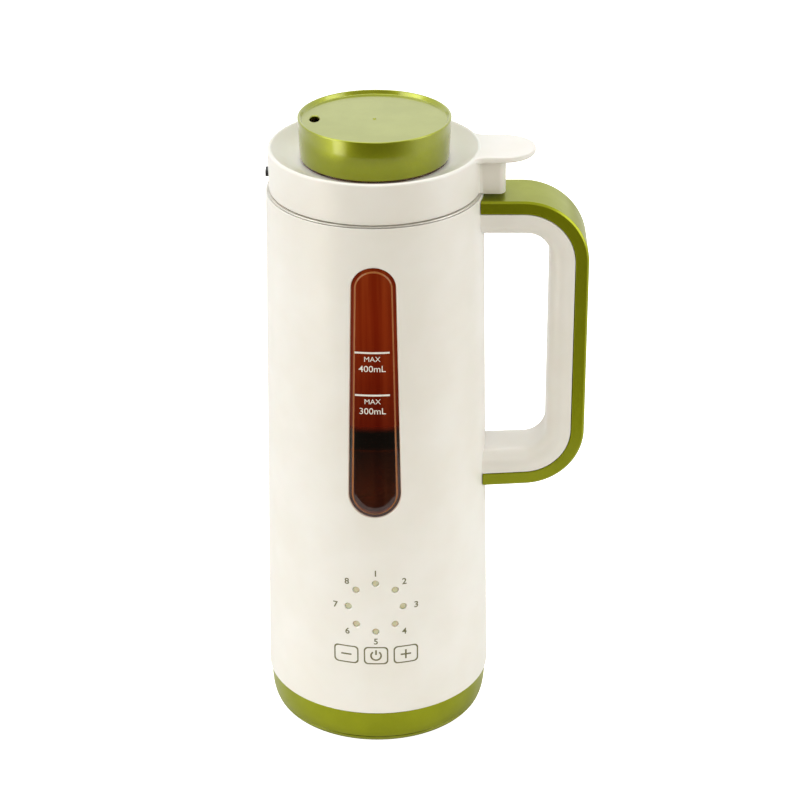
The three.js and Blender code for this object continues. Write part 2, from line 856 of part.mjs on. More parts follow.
function rimRing() {
  const inner = cupInnerRadius(housingTopLevel);
  const skirtInner = cupOuterRadius(housingTopLevel) + fitGap;
  const skirtOuter = skirtInner + rimSkirtThickness;
  const skirtBottom = rimLevel - rimSkirtDepth;
  const top = rimLevel + rimThickness;
  const outer = housingTopRadius - rimSetback;
  return turned([
    [inner, rimLevel],
    [skirtInner, rimLevel],
    [skirtInner, skirtBottom],
    [skirtOuter, skirtBottom],
    [skirtOuter, rimLevel],
    [outer, rimLevel],
    [outer, top],
    [inner, top],
    [inner, rimLevel],
  ]);
}

function innerCup() {
  return turned([
    [cupInnerRadius(cupBottomLevel), cupBottomLevel],
    [cupOuterRadius(cupBottomLevel), cupBottomLevel],
    [cupOuterRadius(housingTopLevel), housingTopLevel],
    [cupInnerRadius(housingTopLevel), housingTopLevel],
    [cupInnerRadius(cupBottomLevel), cupBottomLevel],
  ]);
}

// A rounded corner in a turned profile, from the floor up to the wall
function cornerArc(centreRadius, centreLevel, radius) {
  return Array.from({ length: filletSteps + 1 }, (_, i) => {
    const angle = -quarterTurn + (quarterTurn * i) / filletSteps;
    return [centreRadius + radius * Math.cos(angle), centreLevel + radius * Math.sin(angle)];
  });
}

function heatingBowl() {
  const hole = shaftSealRadius + fitGap;
  const centreRadius = bowlInnerRadius - bowlCorner;
  const centreLevel = bowlFloorLevel + bowlCorner;
  const flangeRadius = bowlInnerRadius + bowlWall + bowlFlange;
  const inner = cornerArc(centreRadius, centreLevel, bowlCorner);
  const outer = cornerArc(centreRadius, centreLevel, bowlCorner + bowlWall);
  const profile = [
    [hole, bowlFloorLevel - bowlWall],
    ...outer,
    [bowlInnerRadius + bowlWall, bowlRimLevel - bowlWall],
    [flangeRadius, bowlRimLevel - bowlWall],
    [flangeRadius, bowlRimLevel],
    [bowlInnerRadius, bowlRimLevel],
    ...inner.reverse(),
    [hole, bowlFloorLevel],
    [hole, bowlFloorLevel - bowlWall],
  ];
  return turned(profile, innerSides);
}

function heatingElement() {
  const top = bowlFloorLevel - bowlWall - fitGap;
  const bottom = top - heaterHeight;
  const body = turned(
    [
      [heaterInnerRadius + heaterChamfer, bottom],
      [heaterOuterRadius - heaterChamfer, bottom],
      [heaterOuterRadius, bottom + heaterChamfer],
      [heaterOuterRadius, top],
      [heaterInnerRadius, top],
      [heaterInnerRadius, bottom + heaterChamfer],
      [heaterInnerRadius + heaterChamfer, bottom],
    ],
    innerSides,
  );
  const terminals = [-1, 1].map((side) => {
    const inside = heaterOuterRadius - heaterChamfer;
    const terminal = rod(terminalRadius, inside, heaterOuterRadius + terminalLength, pinSides);
    const level = (top + bottom) / 2;
    return terminal.rotateY(quarterTurn).translate(0, 0, level).rotateZ(quarterTurn + side * terminalAngle);
  });
  return join(body, ...terminals);
}

function shaftSeal() {
  const bore = shaftRadius + runGap;
  const flangeBottom = bowlFloorLevel + fitGap;
  const bottom = bowlFloorLevel - shaftSealDepth;
  return turned(
    [
      [bore, bottom],
      [shaftSealRadius, bottom],
      [shaftSealRadius, flangeBottom],
      [shaftSealFlange, flangeBottom],
      [shaftSealRadius, flangeBottom + shaftSealTop],
      [bore, flangeBottom + shaftSealTop],
      [bore, bottom],
    ],
    innerSides,
  );
}

function motorBracket() {
  const top = bracketLevel + bracketThickness;
  const plateRadius = housingRadius(top) - housingWall - bracketSideGap;
  const plate = ring(bracketHoleRadius, plateRadius, bracketLevel, top, innerSides);
  const uprightInner = bowlInnerRadius + bowlWall + fitGap;
  const uprightTop = bowlRimLevel - bowlWall - fitGap;
  const uprights = around(uprightCount, uprightInner, -quarterTurn).map(({ angle }) => {
    return prism(
      sector(uprightInner, uprightInner + uprightThickness, angle, uprightArcAngle / 2),
      bracketLevel,
      uprightTop,
    );
  });
  const windows = around(bracketWindowCount, bracketWindowCircle, quarterTurn / 3).map(({ x, y }) => {
    return rod(bracketWindowRadius, bracketLevel - overrun, top + overrun).translate(x, y, 0);
  });
  const holes = [
    ...around(bracketScrewCount, bracketScrewCircle, quarterTurn),
    ...around(motorScrewCount, motorScrewCircle, quarterTurn),
  ].map(({ x, y }) => {
    return rod(screwRadius + fitGap, bracketLevel - overrun, top + overrun, pinSides).translate(x, y, 0);
  });
  return cut(join(plate, ...uprights), ...windows, ...holes);
}

function motorCan() {
  const innerRadius = motorRadius - motorWall;
  const ceiling = motorTopLevel - motorTopPlate;
  const bearingSeat = upperBearingRadius + fitGap;
  const seatLevel = motorTopLevel - upperBearingHeight - fitGap;
  const can = turned(
    [
      [innerRadius, motorBottomLevel],
      [motorRadius, motorBottomLevel],
      [motorRadius, motorTopLevel],
      [bearingSeat, motorTopLevel],
      [bearingSeat, seatLevel],
      [shaftRadius + 2 * runGap, seatLevel],
      [shaftRadius + 2 * runGap, ceiling],
      [innerRadius, ceiling],
      [innerRadius, motorBottomLevel],
    ],
    innerSides,
  );
  const bores = around(motorScrewCount, motorScrewCircle, quarterTurn).map(({ x, y }) => {
    return rod(screwRadius + fitGap, ceiling - overrun, motorTopLevel + overrun, pinSides).translate(x, y, 0);
  });
  return cut(can, ...bores);
}

const brushLevel = motorBottomLevel + commutatorAbove + commutatorLength / 2;

function motorEndCap() {
  const bottom = endCapTop - endCapThickness;
  const cap = ring(lowerBearingRadius + fitGap, motorRadius, bottom, endCapTop, innerSides);
  const inside = brushWidth + 2 * fitGap;
  const outside = inside + 2 * brushHolderWall;
  const nearEnd = commutatorRadius + fitGap + brushHolderWall;
  const middle = nearEnd + brushHolderLength / 2;
  const openTop = brushLevel + brushHeight / 2 + fitGap;
  const openBottom = brushLevel - brushHeight / 2 - fitGap;
  const holders = [-1, 1].map((side) => {
    const holder = block(brushHolderLength, outside, endCapTop - fitGap, openTop + brushHolderWall);
    return holder.translate(side * middle, 0, 0);
  });
  const channels = [-1, 1].map((side) => {
    const channel = block(brushHolderLength + overrun, inside, openBottom, openTop);
    return channel.translate(side * middle, 0, 0);
  });
  return cut(join(cap, ...holders), ...channels);
}

function brush(side) {
  const start = commutatorRadius + fitGap;
  const bottom = brushLevel - brushHeight / 2;
  const made = block(brushLength, brushWidth, bottom, bottom + brushHeight);
  return made.translate(side * (start + brushLength / 2), 0, 0);
}

const rotorLevel = motorTopLevel - motorTopPlate - windingClearance - windingOverhang - rotorLength;

function magnet(angle) {
  const outer = motorRadius - motorWall - fitGap;
  const bottom = rotorLevel + (rotorLength - magnetLength) / 2;
  const shape = sector(outer - magnetThickness, outer, angle, magnetArcAngle / 2);
  return prism(shape, bottom, bottom + magnetLength, pinSides);
}

// Armature: slotted laminations, winding heads, insulating sleeve and commutator on one core
function rotor() {
  const slotHalf = (fullTurn / rotorSlotCount) * rotorSlotShare / 2;
  const shape = new THREE.Shape();
  around(rotorSlotCount, rotorRadius).forEach(({ angle }) => {
    const next = angle + fullTurn / rotorSlotCount;
    shape.absarc(0, 0, rotorRadius - rotorSlotDepth, angle - slotHalf, angle + slotHalf, false);
    shape.absarc(0, 0, rotorRadius, angle + slotHalf, next - slotHalf, false);
  });
  const stack = prism(shape, rotorLevel, rotorLevel + rotorLength, toothSteps);
  const top = rotorLevel + rotorLength + windingOverhang;
  const windings = rod(windingRadius, rotorLevel - windingOverhang, top, innerSides);
  const commutatorBottom = brushLevel - commutatorLength / 2;
  const sleeve = rod(rotorSleeveRadius, commutatorBottom, rotorLevel, rodSides);
  const commutator = rod(commutatorRadius, commutatorBottom, commutatorBottom + commutatorLength, rodSides);
  const bore = rod(shaftRadius + fitGap, commutatorBottom - overrun, top + overrun, rodSides);
  return cut(join(stack, windings, sleeve, commutator), bore);
}

function bearing(outerRadius, bottom, height) {
  return ring(shaftRadius + runGap, outerRadius, bottom, bottom + height, rodSides);
}

const lowerBladeLevel = shaftStepLevel + fitGap;
const upperBladeLevel = lowerBladeLevel + bladeThickness + fitGap;
const nutLevel = upperBladeLevel + bladeThickness + fitGap;
const shaftTopLevel = nutLevel + nutHeight - fitGap;

function driveShaft() {
  return turned(
    [
      [0, shaftBottomLevel],
      [shaftRadius, shaftBottomLevel],
      [shaftRadius, shaftStepLevel],
      [bladeSeatRadius, shaftStepLevel],
      [bladeSeatRadius, shaftTopLevel],
      [0, shaftTopLevel],
    ],
    rodSides,
  );
}

// Blade: two arms on a hub, bevelled on the leading edge and bent up or down towards the tips
function blade(level, tip, rise) {
  const arm = () => {
    const section = [
      new THREE.Vector2(-1, 0),
      new THREE.Vector2(1, 0),
      new THREE.Vector2(1, 1),
      new THREE.Vector2(-1, 1),
    ];
    const rings = bladeRadiusShares.map((radiusShare, i) => {
      const width = bladeRootWidth + (bladeTipWidth - bladeRootWidth) * radiusShare;
      const lift = level + rise * bladeRiseShares[i];
      return section.map(({ x: across, y: up }) => {
        const edge = (across * width) / 2 + (across < 0 ? up * bladeBevel : 0);
        return new THREE.Vector3(tip * radiusShare, edge, lift + up * bladeThickness);
      });
    });
    return loft(rings, section);
  };
  const hub = rod(bladeHubRadius, level, level + bladeThickness);
  const bore = rod(bladeSeatRadius + fitGap, level - overrun, level + bladeThickness + overrun);
  return cut(join(hub, arm(), arm().rotateZ(Math.PI)), bore);
}

function bladeNut() {
  const nut = rod(nutRadius, nutLevel, nutLevel + nutHeight, nutSides);
  const domeTop = nutLevel + nutHeight + nutDomeHeight;
  const dome = turned(
    [
      [0, nutLevel + nutHeight / 2],
      [bladeSeatRadius + nutDomeHeight / 2, nutLevel + nutHeight / 2],
      [bladeSeatRadius + nutDomeHeight / 2, nutLevel + nutHeight],
      [bladeSeatRadius, domeTop - nutDomeHeight / 3],
      [0, domeTop],
    ],
    rodSides,
  );
  const bore = rod(bladeSeatRadius + fitGap, nutLevel - overrun, shaftTopLevel + fitGap);
  return cut(join(nut, dome), bore);
}

function coolingFan() {
  const top = fanLevel + fanHeight;
  const plate = rod(fanRadius, top - fanPlate, top, innerSides);
  const hub = rod(fanHubRadius, fanLevel, top, rodSides);
  const bladeReach = fanRadius - fanHubRadius;
  const bladeCircle = (fanRadius + fanHubRadius) / 2 - fanBladeThickness;
  const blades = around(fanBladeCount, bladeCircle).map(({ angle, x, y }) => {
    const vane = block(bladeReach, fanBladeThickness, fanLevel, top - fanPlate / 2);
    return vane.rotateZ(angle).translate(x, y, 0);
  });
  const bore = rod(shaftRadius + fitGap, fanLevel - overrun, top + overrun, rodSides);
  return cut(join(plate, hub, ...blades), bore);
}

function controlBoard() {
  const back = -controlBoardFront + boardThickness;
  const board = block(2 * controlBoardHalfWidth, boardThickness, controlBoardBottom, controlBoardTop);
  board.translate(0, back - boardThickness / 2, 0);
  const controller = block(controllerSize, controllerHeight + fitGap, ringLevel - controllerSize, ringLevel);
  controller.translate(0, back + (controllerHeight - fitGap) / 2, 0);
  const connectorBottom = controlBoardBottom + connectorRise;
  const connectorTop = connectorBottom + connectorHeight;
  const connector = block(connectorWidth, connectorDepth + fitGap, connectorBottom, connectorTop);
  connector.translate(0, back + (connectorDepth - fitGap) / 2, 0);
  return join(board, controller, connector);
}

// Light guide: one clear moulding, a ring in front of the board with a post for each indicator
function lightGuide() {
  const back = controlBoardFront + fitGap;
  const inner = ringRadius - guideHalfWidth;
  const outer = ringRadius + guideHalfWidth;
  const guide = ring(inner, outer, back, back + guideThickness, innerSides);
  guide.rotateX(quarterTurn).translate(0, 0, ringLevel);
  const posts = indicators.map(({ x, y }) => {
    const front = faceDepth(x, ringLevel + y, -indicatorSink);
    const post = rod(indicatorRadius - fitGap, back + guideThickness / 2, front, pinSides);
    return post.rotateX(quarterTurn).translate(x, 0, ringLevel + y);
  });
  return join(guide, ...posts);
}

// Touch spring: a coil between the board and the back of the panel, one behind each printed key
function touchSpring(x) {
  const start = controlBoardFront + fitGap + touchSpringWire;
  const end = faceDepth(Math.abs(x) + touchSpringRadius, keyLevel, -housingWall - fitGap) - touchSpringWire;
  const steps = touchSpringTurns * touchSpringSteps;
  const line = Array.from({ length: steps + 1 }, (_, i) => {
    const angle = (fullTurn * i) / touchSpringSteps;
    const along = start + ((end - start) * i) / steps;
    return new THREE.Vector3(
      x + touchSpringRadius * Math.cos(angle),
      -along,
      keyLevel + touchSpringRadius * Math.sin(angle),
    );
  });
  const wire = new THREE.Shape(
    around(touchSpringSides, touchSpringWire).map((point) => new THREE.Vector2(point.x, point.y)),
  );
  const extrudePath = new THREE.CatmullRomCurve3(line);
  return new THREE.ExtrudeGeometry(wire, { steps, bevelEnabled: false, extrudePath });
}

const inletBackFace = inletFaceOffset - inletDepth;
const inletFloor = inletBackFace + inletBack;
const inletPins = [
  { name: 'inlet_pin_live', x: -inletPinSpacing, z: -inletEarthRise },
  { name: 'inlet_pin_earth', x: 0, z: inletEarthRise },
  { name: 'inlet_pin_neutral', x: inletPinSpacing, z: -inletEarthRise },
];

function inletHousing() {
  const flangeShape = roundedRectangle(
    inletWidth + 2 * inletFlange,
    inletHeight + 2 * inletFlange,
    inletCorner - fitGap,
  );
  const flange = frontPrism(flangeShape, inletFaceOffset - inletFlangeThickness, inletFaceOffset);
  const bodyShape = roundedRectangle(inletWidth, inletHeight, inletCorner - inletFlange - fitGap);
  const body = frontPrism(bodyShape, inletBackFace, inletFaceOffset - inletFlangeThickness / 2);
  const halfWidth = inletWidth / 2 - inletWall;
  const halfHeight = inletHeight / 2 - inletWall;
  const socketShape = new THREE.Shape([
    new THREE.Vector2(-halfWidth, -halfHeight),
    new THREE.Vector2(halfWidth, -halfHeight),
    new THREE.Vector2(halfWidth, halfHeight - inletCorner),
    new THREE.Vector2(halfWidth - inletCorner, halfHeight),
    new THREE.Vector2(-halfWidth + inletCorner, halfHeight),
    new THREE.Vector2(-halfWidth, halfHeight - inletCorner),
  ]);
  const socket = frontPrism(socketShape, inletFloor, inletFaceOffset + overrun);
  const slots = inletPins.map(({ x, z }) => {
    const width = inletPinWidth + 2 * fitGap;
    const half = inletPinHeight / 2 + fitGap;
    const slot = block(width, inletBack + 2 * overrun, z - half, z + half);
    return slot.translate(x, inletFloor - inletBack / 2, 0);
  });
  return cut(join(flange, body), socket, ...slots).translate(0, 0, inletLevel);
}

function inletPin() {
  const front = inletFaceOffset - inletPinSink;
  const pin = block(inletPinWidth, inletPinLength, -inletPinHeight / 2, inletPinHeight / 2);
  return pin.translate(0, front - inletPinLength / 2, inletLevel);
}

function screw(headBottom, headHeight, length) {
  const headTop = headBottom + headHeight;
  return join(
    rod(screwHeadRadius, headBottom, headTop, pinSides),
    rod(screwRadius, headTop - fitGap, headTop + length, pinSides),
  );
}

// Lid: modelled from its own lower edge; the finger tab and the magnet's block grow out of the skirt
function lidShell() {
  const top = lidHeight;
  const rimInner = lidTopRadius - lidEdgeRadius - lidRimWidth;
  const seat = top - dishDepth;
  const edge = Array.from({ length: filletSteps + 1 }, (_, i) => {
    const angle = (quarterTurn * i) / filletSteps;
    return [
      lidTopRadius - lidEdgeRadius + lidEdgeRadius * Math.cos(angle),
      top - lidEdgeRadius + lidEdgeRadius * Math.sin(angle),
    ];
  });
  const outside = turned([[0, 0], [lidBottomRadius, 0], ...edge, [0, top]]);

  const filletY = tabHalfWidth + tabFillet;
  const filletX = Math.sqrt((lidBottomRadius + tabFillet) ** 2 - filletY ** 2);
  const filletAngle = Math.atan2(filletY, filletX);
  const tipX = tabReach - tabTipLength;
  const tab = new THREE.Shape();
  tab.moveTo(seatRadius, -tabHalfWidth);
  tab.absarc(filletX, -filletY, tabFillet, Math.PI - filletAngle, quarterTurn, true);
  tab.absellipse(tipX, 0, tabTipLength, tabHalfWidth, -quarterTurn, quarterTurn, false, 0);
  tab.absarc(filletX, filletY, tabFillet, -quarterTurn, filletAngle - Math.PI, true);
  tab.lineTo(seatRadius, tabHalfWidth);
  const tabPlate = prism(tab, top - tabDrop - tabThickness, top - tabDrop, tabSteps);

  const post = new THREE.Shape();
  const flareX = blockRootOffset + blockFlare;
  const flareY = blockHalfWidth + blockFlare;
  const cornerX = blockReach - blockCorner;
  const cornerY = blockHalfWidth - blockCorner;
  post.absarc(flareX, -flareY, blockFlare, Math.PI, quarterTurn, true);
  post.absarc(cornerX, -cornerY, blockCorner, -quarterTurn, 0, false);
  post.absarc(cornerX, cornerY, blockCorner, 0, quarterTurn, false);
  post.absarc(flareX, flareY, blockFlare, -quarterTurn, -Math.PI, true);
  const postBody = prism(post, -blockDrop, top - tabDrop - tabThickness / 2, filletSteps);

  const dish = Array.from({ length: dishSteps + 1 }, (_, i) => {
    const share = i / dishSteps;
    const fall = Math.sin(quarterTurn * share);
    return [rimInner + (seatRadius - rimInner) * share, top - dishDepth * fall];
  });
  const dishSpace = turned([[0, top + overrun], [rimInner, top + overrun], ...dish, [0, seat]]);
  const cavity = turned([
    [0, -overrun],
    [lidBottomRadius - lidWall, -overrun],
    [lidBottomRadius - lidWall, top - lidWall - dishDepth / 2],
    [seatRadius + lidWall, seat - lidWall],
    [0, seat - lidWall],
  ]);
  const belowSkirt = rod(housingTopRadius + fitGap, -blockDrop - overrun, 0, shellSides);
  const feedHole = rod(feedHoleRadius, seat - lidWall - overrun, top + overrun, shellSides);
  const pocket = rod(magnetPocketRadius, -blockDrop - overrun, -blockDrop + magnetPocketDepth, rodSides);
  const pourSlot = prism(
    roundedRectangle(pourHeight + 2 * fitGap, pourWidth + 2 * fitGap, pourHeight / 2),
    lidBottomRadius / 2,
    lidTopRadius + overrun,
  );
  pourSlot.rotateY(-quarterTurn).translate(0, 0, pourLevelInLid);
  return cut(
    join(outside, tabPlate, postBody),
    dishSpace,
    cavity,
    belowSkirt,
    feedHole,
    pocket.translate(lidMagnetOffset, 0, 0),
    pourSlot,
  );
}

function lidLiner() {
  const bottom = -linerDepth;
  const outer = cupInnerRadius(housingTopLevel) - linerSideGap;
  const tubeTop = lidHeight - dishDepth - lidWall - fitGap;
  const tubeOuter = feedHoleRadius + linerTubeWall;
  const grooveBottom = bottom + lidSealRise - fitGap;
  const grooveTop = grooveBottom + lidSealHeight + 2 * fitGap;
  const profile = [
    [feedHoleRadius, bottom],
    [outer, bottom],
    [outer, grooveBottom],
    [outer - lidSealGroove, grooveBottom],
    [outer - lidSealGroove, grooveTop],
    [outer, grooveTop],
    [outer, linerRise],
    [outer - linerWall, linerRise],
    [outer - linerWall, bottom + linerWall],
    [tubeOuter, bottom + linerWall],
    [tubeOuter, tubeTop],
    [feedHoleRadius, tubeTop],
    [feedHoleRadius, bottom],
  ];
  const port = prism(
    sector(tubeOuter + linerPortInset, outer - linerWall - linerPortInset, Math.PI, linerPortHalfAngle),
    bottom - overrun,
    bottom + linerWall + overrun,
  );
  return cut(turned(profile, innerSides), port);
}

function lidSeal() {
  const bottom = -linerDepth + lidSealRise;
  const mouth = cupInnerRadius(housingTopLevel);
  const inner = mouth - linerSideGap - lidSealGroove + fitGap;
  const outer = mouth - lidSealBite;
  const lip = (outer - inner) / 3;
  const profile = [
    [inner, bottom],
    [inner + lip, bottom],
    [outer, bottom + lidSealHeight / 2],
    [inner + lip, bottom + lidSealHeight],
    [inner, bottom + lidSealHeight],
    [inner, bottom],
  ];
  return turned(profile, innerSides);
}

function pourLip() {
  const outline = roundedRectangle(pourHeight, pourWidth, pourHeight / 2 - weldDistance);
  const inside = roundedRectangle(
    pourHeight - 2 * pourWall,
    pourWidth - 2 * pourWall,
    pourHeight / 2 - pourWall - weldDistance,
  );
  const start = lidBottomRadius - lidWall - pourInside;
  const end = lidTopRadius + pourProud;
  const spout = cut(prism(outline, start, end, filletSteps), prism(inside, start - overrun, end + overrun));
  return spout.rotateY(-quarterTurn).translate(0, 0, pourLevelInLid);
}

// Cap: a green outer shell over an amber plug whose flange shows as a thin line
const plugFlangeRadius = capBottomRadius - plugFlangeSetback;

function capShell() {
  const bottom = plugFlangeThickness + fitGap;
  const top = bottom + capHeight;
  const edge = Array.from({ length: filletSteps + 1 }, (_, i) => {
    const angle = (quarterTurn * i) / filletSteps;
    return [
      capTopRadius - capEdgeRadius + capEdgeRadius * Math.cos(angle),
      top - capEdgeRadius + capEdgeRadius * Math.sin(angle),
    ];
  });
  const rimInner = capTopRadius - capEdgeRadius - capRimWidth;
  const face = top - capDish;
  const ceiling = face - capWall;
  const shell = turned([
    [capBottomRadius, bottom],
    ...edge,
    [rimInner, top],
    [rimInner - capDishSlope, face],
    [0, face],
    [0, ceiling],
    [capTopRadius - capWall, ceiling],
    [capBottomRadius - capWall, bottom],
    [capBottomRadius, bottom],
  ]);
  const vent = rod(capVentRadius, ceiling - overrun, top + overrun);
  vent.translate(capVentOffset * Math.cos(capVentAngle), capVentOffset * Math.sin(capVentAngle), 0);
  return cut(shell, vent);
}

function capPlug() {
  const grooveBottom = -plugGrooveLevel - gasketHeight - 2 * fitGap;
  const grooveRadius = plugRadius - plugGrooveDepth;
  const insideRadius = grooveRadius - plugWall;
  const plug = turned([
    [0, -plugDepth],
    [plugRadius, -plugDepth],
    [plugRadius, grooveBottom],
    [grooveRadius, grooveBottom],
    [grooveRadius, -plugGrooveLevel],
    [plugRadius, -plugGrooveLevel],
    [plugRadius, 0],
    [plugFlangeRadius, 0],
    [plugFlangeRadius, plugFlangeThickness],
    [insideRadius, plugFlangeThickness],
    [insideRadius, -plugDepth + plugWall],
    [0, -plugDepth + plugWall],
  ], innerSides);
  const vent = rod(plugVentRadius, -plugDepth - overrun, -plugDepth + plugWall + overrun);
  return cut(plug, vent.translate(-capVentOffset / 2, 0, 0));
}

function capGasket() {
  const top = -plugGrooveLevel - fitGap;
  const bottom = top - gasketHeight;
  const inner = plugRadius - plugGrooveDepth + fitGap;
  const outer = feedHoleRadius - plugGasketBite;
  const profile = [
    [inner, bottom],
    [plugRadius, bottom],
    [outer, (top + bottom) / 2],
    [plugRadius, top],
    [inner, top],
    [inner, bottom],
  ];
  return turned(profile, innerSides);
}

// Finishes
const housingWhite = { color: 0xece8df, roughness: 0.42, metalness: 0 };
const metallicGreen = { color: 0x8f9430, roughness: 0.34, metalness: 0.45 };
const amberPlastic = { color: 0x7a2c10, roughness: 0.12, metalness: 0 };
const brushedSteel = { color: 0xb9b8b2, roughness: 0.3, metalness: 1 };
const darkSteel = { color: 0x5a5a5c, roughness: 0.4, metalness: 1 };
const castAluminium = { color: 0xa7a9ab, roughness: 0.55, metalness: 1 };
const greySilicone = { color: 0xcfcdc6, roughness: 0.6, metalness: 0 };
const blackRubber = { color: 0x202020, roughness: 0.8, metalness: 0 };
const charcoalPlastic = { color: 0x2a2a2b, roughness: 0.5, metalness: 0 };
const boardGreen = { color: 0x1f5a3a, roughness: 0.5, metalness: 0 };
const clearPlastic = { color: 0xd9d8cf, roughness: 0.2, metalness: 0 };
const brass = { color: 0xb08d4a, roughness: 0.3, metalness: 1 };
const carbon = { color: 0x303236, roughness: 0.7, metalness: 0 };
const copper = { color: 0xa65f3a, roughness: 0.4, metalness: 1 };

function piece(group, name, geometry, finish) {
  const mesh = new THREE.Mesh(geometry, new THREE.MeshStandardMaterial(finish));
  mesh.name = name;
  group.add(mesh);
  return mesh;
}

// Copies of one piece at its places round the axis
function pieces(group, name, geometry, finish, places) {
  places.forEach(({ x, y }, i) => {
    piece(group, `${name}_${i + 1}`, geometry, finish).position.set(x, y, 0);
  });
}

const jug = new THREE.Group();

// Casings and what they stand on
piece(jug, 'outer_housing', outerHousing(), housingWhite);
piece(jug, 'base_shell', baseShell(), metallicGreen);
piece(jug, 'bottom_cover', bottomCover(), charcoalPlastic);
const foot = rod(footRadius, 0, footHeight);
pieces(jug, 'rubber_foot', foot, blackRubber, around(footCount, footCircle, quarterTurn / 2));
const coverScrew = screw(footProud, coverHeadHeight, coverScrewLength);
pieces(jug, 'cover_screw', coverScrew, brushedSteel, around(coverScrewCount, coverScrewCircle));
piece(jug, 'window_lens', windowLens(), amberPlastic);
piece(jug, 'rim_ring', rimRing(), brushedSteel);

// Jug, bowl and heater
piece(jug, 'inner_cup', innerCup(), amberPlastic);
const cupSealRing = ring(
  bowlInnerRadius + fitGap,
  bowlInnerRadius + bowlWall + bowlFlange - fitGap,
  cupSealLevel,
  cupSealLevel + cupSealHeight,
  innerSides,
);
piece(jug, 'cup_seal', cupSealRing, greySilicone);
piece(jug, 'heating_bowl', heatingBowl(), brushedSteel);
piece(jug, 'heating_element', heatingElement(), castAluminium);
piece(jug, 'shaft_seal', shaftSeal(), greySilicone);
const sensorTop = bowlFloorLevel - bowlWall - fitGap;
const sensor = rod(sensorRadius, sensorTop - sensorHeight, sensorTop, pinSides);
piece(jug, 'temperature_sensor', sensor, castAluminium).position.set(sensorOffset, 0, 0);

// Motor and the bracket that hangs it under the bowl
piece(jug, 'motor_bracket', motorBracket(), charcoalPlastic);
const bracketScrew = screw(
  bracketLevel - fitGap - bracketScrewHeadHeight,
  bracketScrewHeadHeight,
  bracketScrewLength,
);
const bracketScrewPlaces = around(bracketScrewCount, bracketScrewCircle, quarterTurn);
pieces(jug, 'bracket_screw', bracketScrew, brushedSteel, bracketScrewPlaces);
const motorScrew = screw(0, screwHeadHeight, motorScrewLength).rotateX(Math.PI);
motorScrew.translate(0, 0, bracketLevel + bracketThickness + fitGap + screwHeadHeight);
const motorScrewPlaces = around(motorScrewCount, motorScrewCircle, quarterTurn);
pieces(jug, 'motor_screw', motorScrew, brushedSteel, motorScrewPlaces);
piece(jug, 'motor_can', motorCan(), darkSteel);
piece(jug, 'motor_end_cap', motorEndCap(), charcoalPlastic);
around(magnetCount, motorRadius, quarterTurn).forEach(({ angle }, i) => {
  piece(jug, `motor_magnet_${i + 1}`, magnet(angle), carbon);
});
piece(jug, 'brush_left', brush(-1), carbon);
piece(jug, 'brush_right', brush(1), carbon);
const upperBearing = bearing(upperBearingRadius, motorTopLevel - upperBearingHeight, upperBearingHeight);
piece(jug, 'upper_bearing', upperBearing, brushedSteel);
const lowerBearing = bearing(lowerBearingRadius, endCapTop - endCapThickness, lowerBearingHeight);
piece(jug, 'lower_bearing', lowerBearing, brushedSteel);

// Boards, light guide, keys and mains inlet
piece(jug, 'control_board', controlBoard(), boardGreen);
piece(jug, 'light_guide', lightGuide(), clearPlastic);
keys.forEach((x, i) => piece(jug, `touch_spring_${i + 1}`, touchSpring(x), brushedSteel));
piece(jug, 'power_board', powerBoard(), boardGreen);
piece(jug, 'inlet_housing', inletHousing(), charcoalPlastic);
inletPins.forEach(({ name, x, z }) => piece(jug, name, inletPin(), brass).position.set(x, 0, z));

// Green cover of the grip and the lid sensor in the grip's channel
const gripCover = gripLoft(gripSeamRail, gripOuterRail, gripCoverSection);
piece(jug, 'handle_cover', cut(gripCover, cone(fitGap)), metallicGreen);
const lidSensorLevel = gripHoleTopLevel + gripChannelFloor + fitGap;
const lidSensor = block(lidSensorLength, lidSensorWidth, lidSensorLevel, lidSensorLevel + lidSensorHeight);
const lidSensorOffset = housingTopRadius + lidSensorStand + lidSensorLength / 2;
piece(jug, 'lid_sensor', lidSensor, boardGreen).position.set(lidSensorOffset, 0, 0);

// Lid and what lifts off with it
const lid = new THREE.Group();
lid.position.set(0, 0, lidLevel);
jug.add(lid);
piece(lid, 'lid_shell', lidShell(), housingWhite);
piece(lid, 'lid_liner', lidLiner(), clearPlastic);
piece(lid, 'lid_seal', lidSeal(), greySilicone);
piece(lid, 'pour_lip', pourLip(), amberPlastic);
const magnetTop = -blockDrop + magnetPocketDepth - fitGap;
const lidMagnet = rod(magnetPocketRadius - fitGap, magnetTop - lidMagnetHeight, magnetTop);
piece(lid, 'lid_magnet', lidMagnet, darkSteel).position.set(lidMagnetOffset, 0, 0);

// Cap and what lifts out with it
const cap = new THREE.Group();
cap.position.set(0, 0, lidHeight - dishDepth + fitGap);
lid.add(cap);
piece(cap, 'cap_shell', capShell(), metallicGreen);
piece(cap, 'cap_plug', capPlug(), amberPlastic);
piece(cap, 'cap_gasket', capGasket(), greySilicone);

// Everything that the motor turns
const drive = new THREE.Group();
jug.add(drive);
piece(drive, 'drive_shaft', driveShaft(), brushedSteel);
piece(drive, 'rotor', rotor(), copper);
piece(drive, 'cooling_fan', coolingFan(), charcoalPlastic);
const lowerBlade = blade(lowerBladeLevel, lowerBladeTip, -lowerBladeRise);
piece(drive, 'lower_blade', lowerBlade, brushedSteel).rotation.z = lowerBladeTurn;
const upperBlade = blade(upperBladeLevel, upperBladeTip, upperBladeRise);
piece(drive, 'upper_blade', upperBlade, brushedSteel).rotation.z = upperBladeTurn;
piece(drive, 'blade_nut', bladeNut(), brushedSteel);

export default jug;
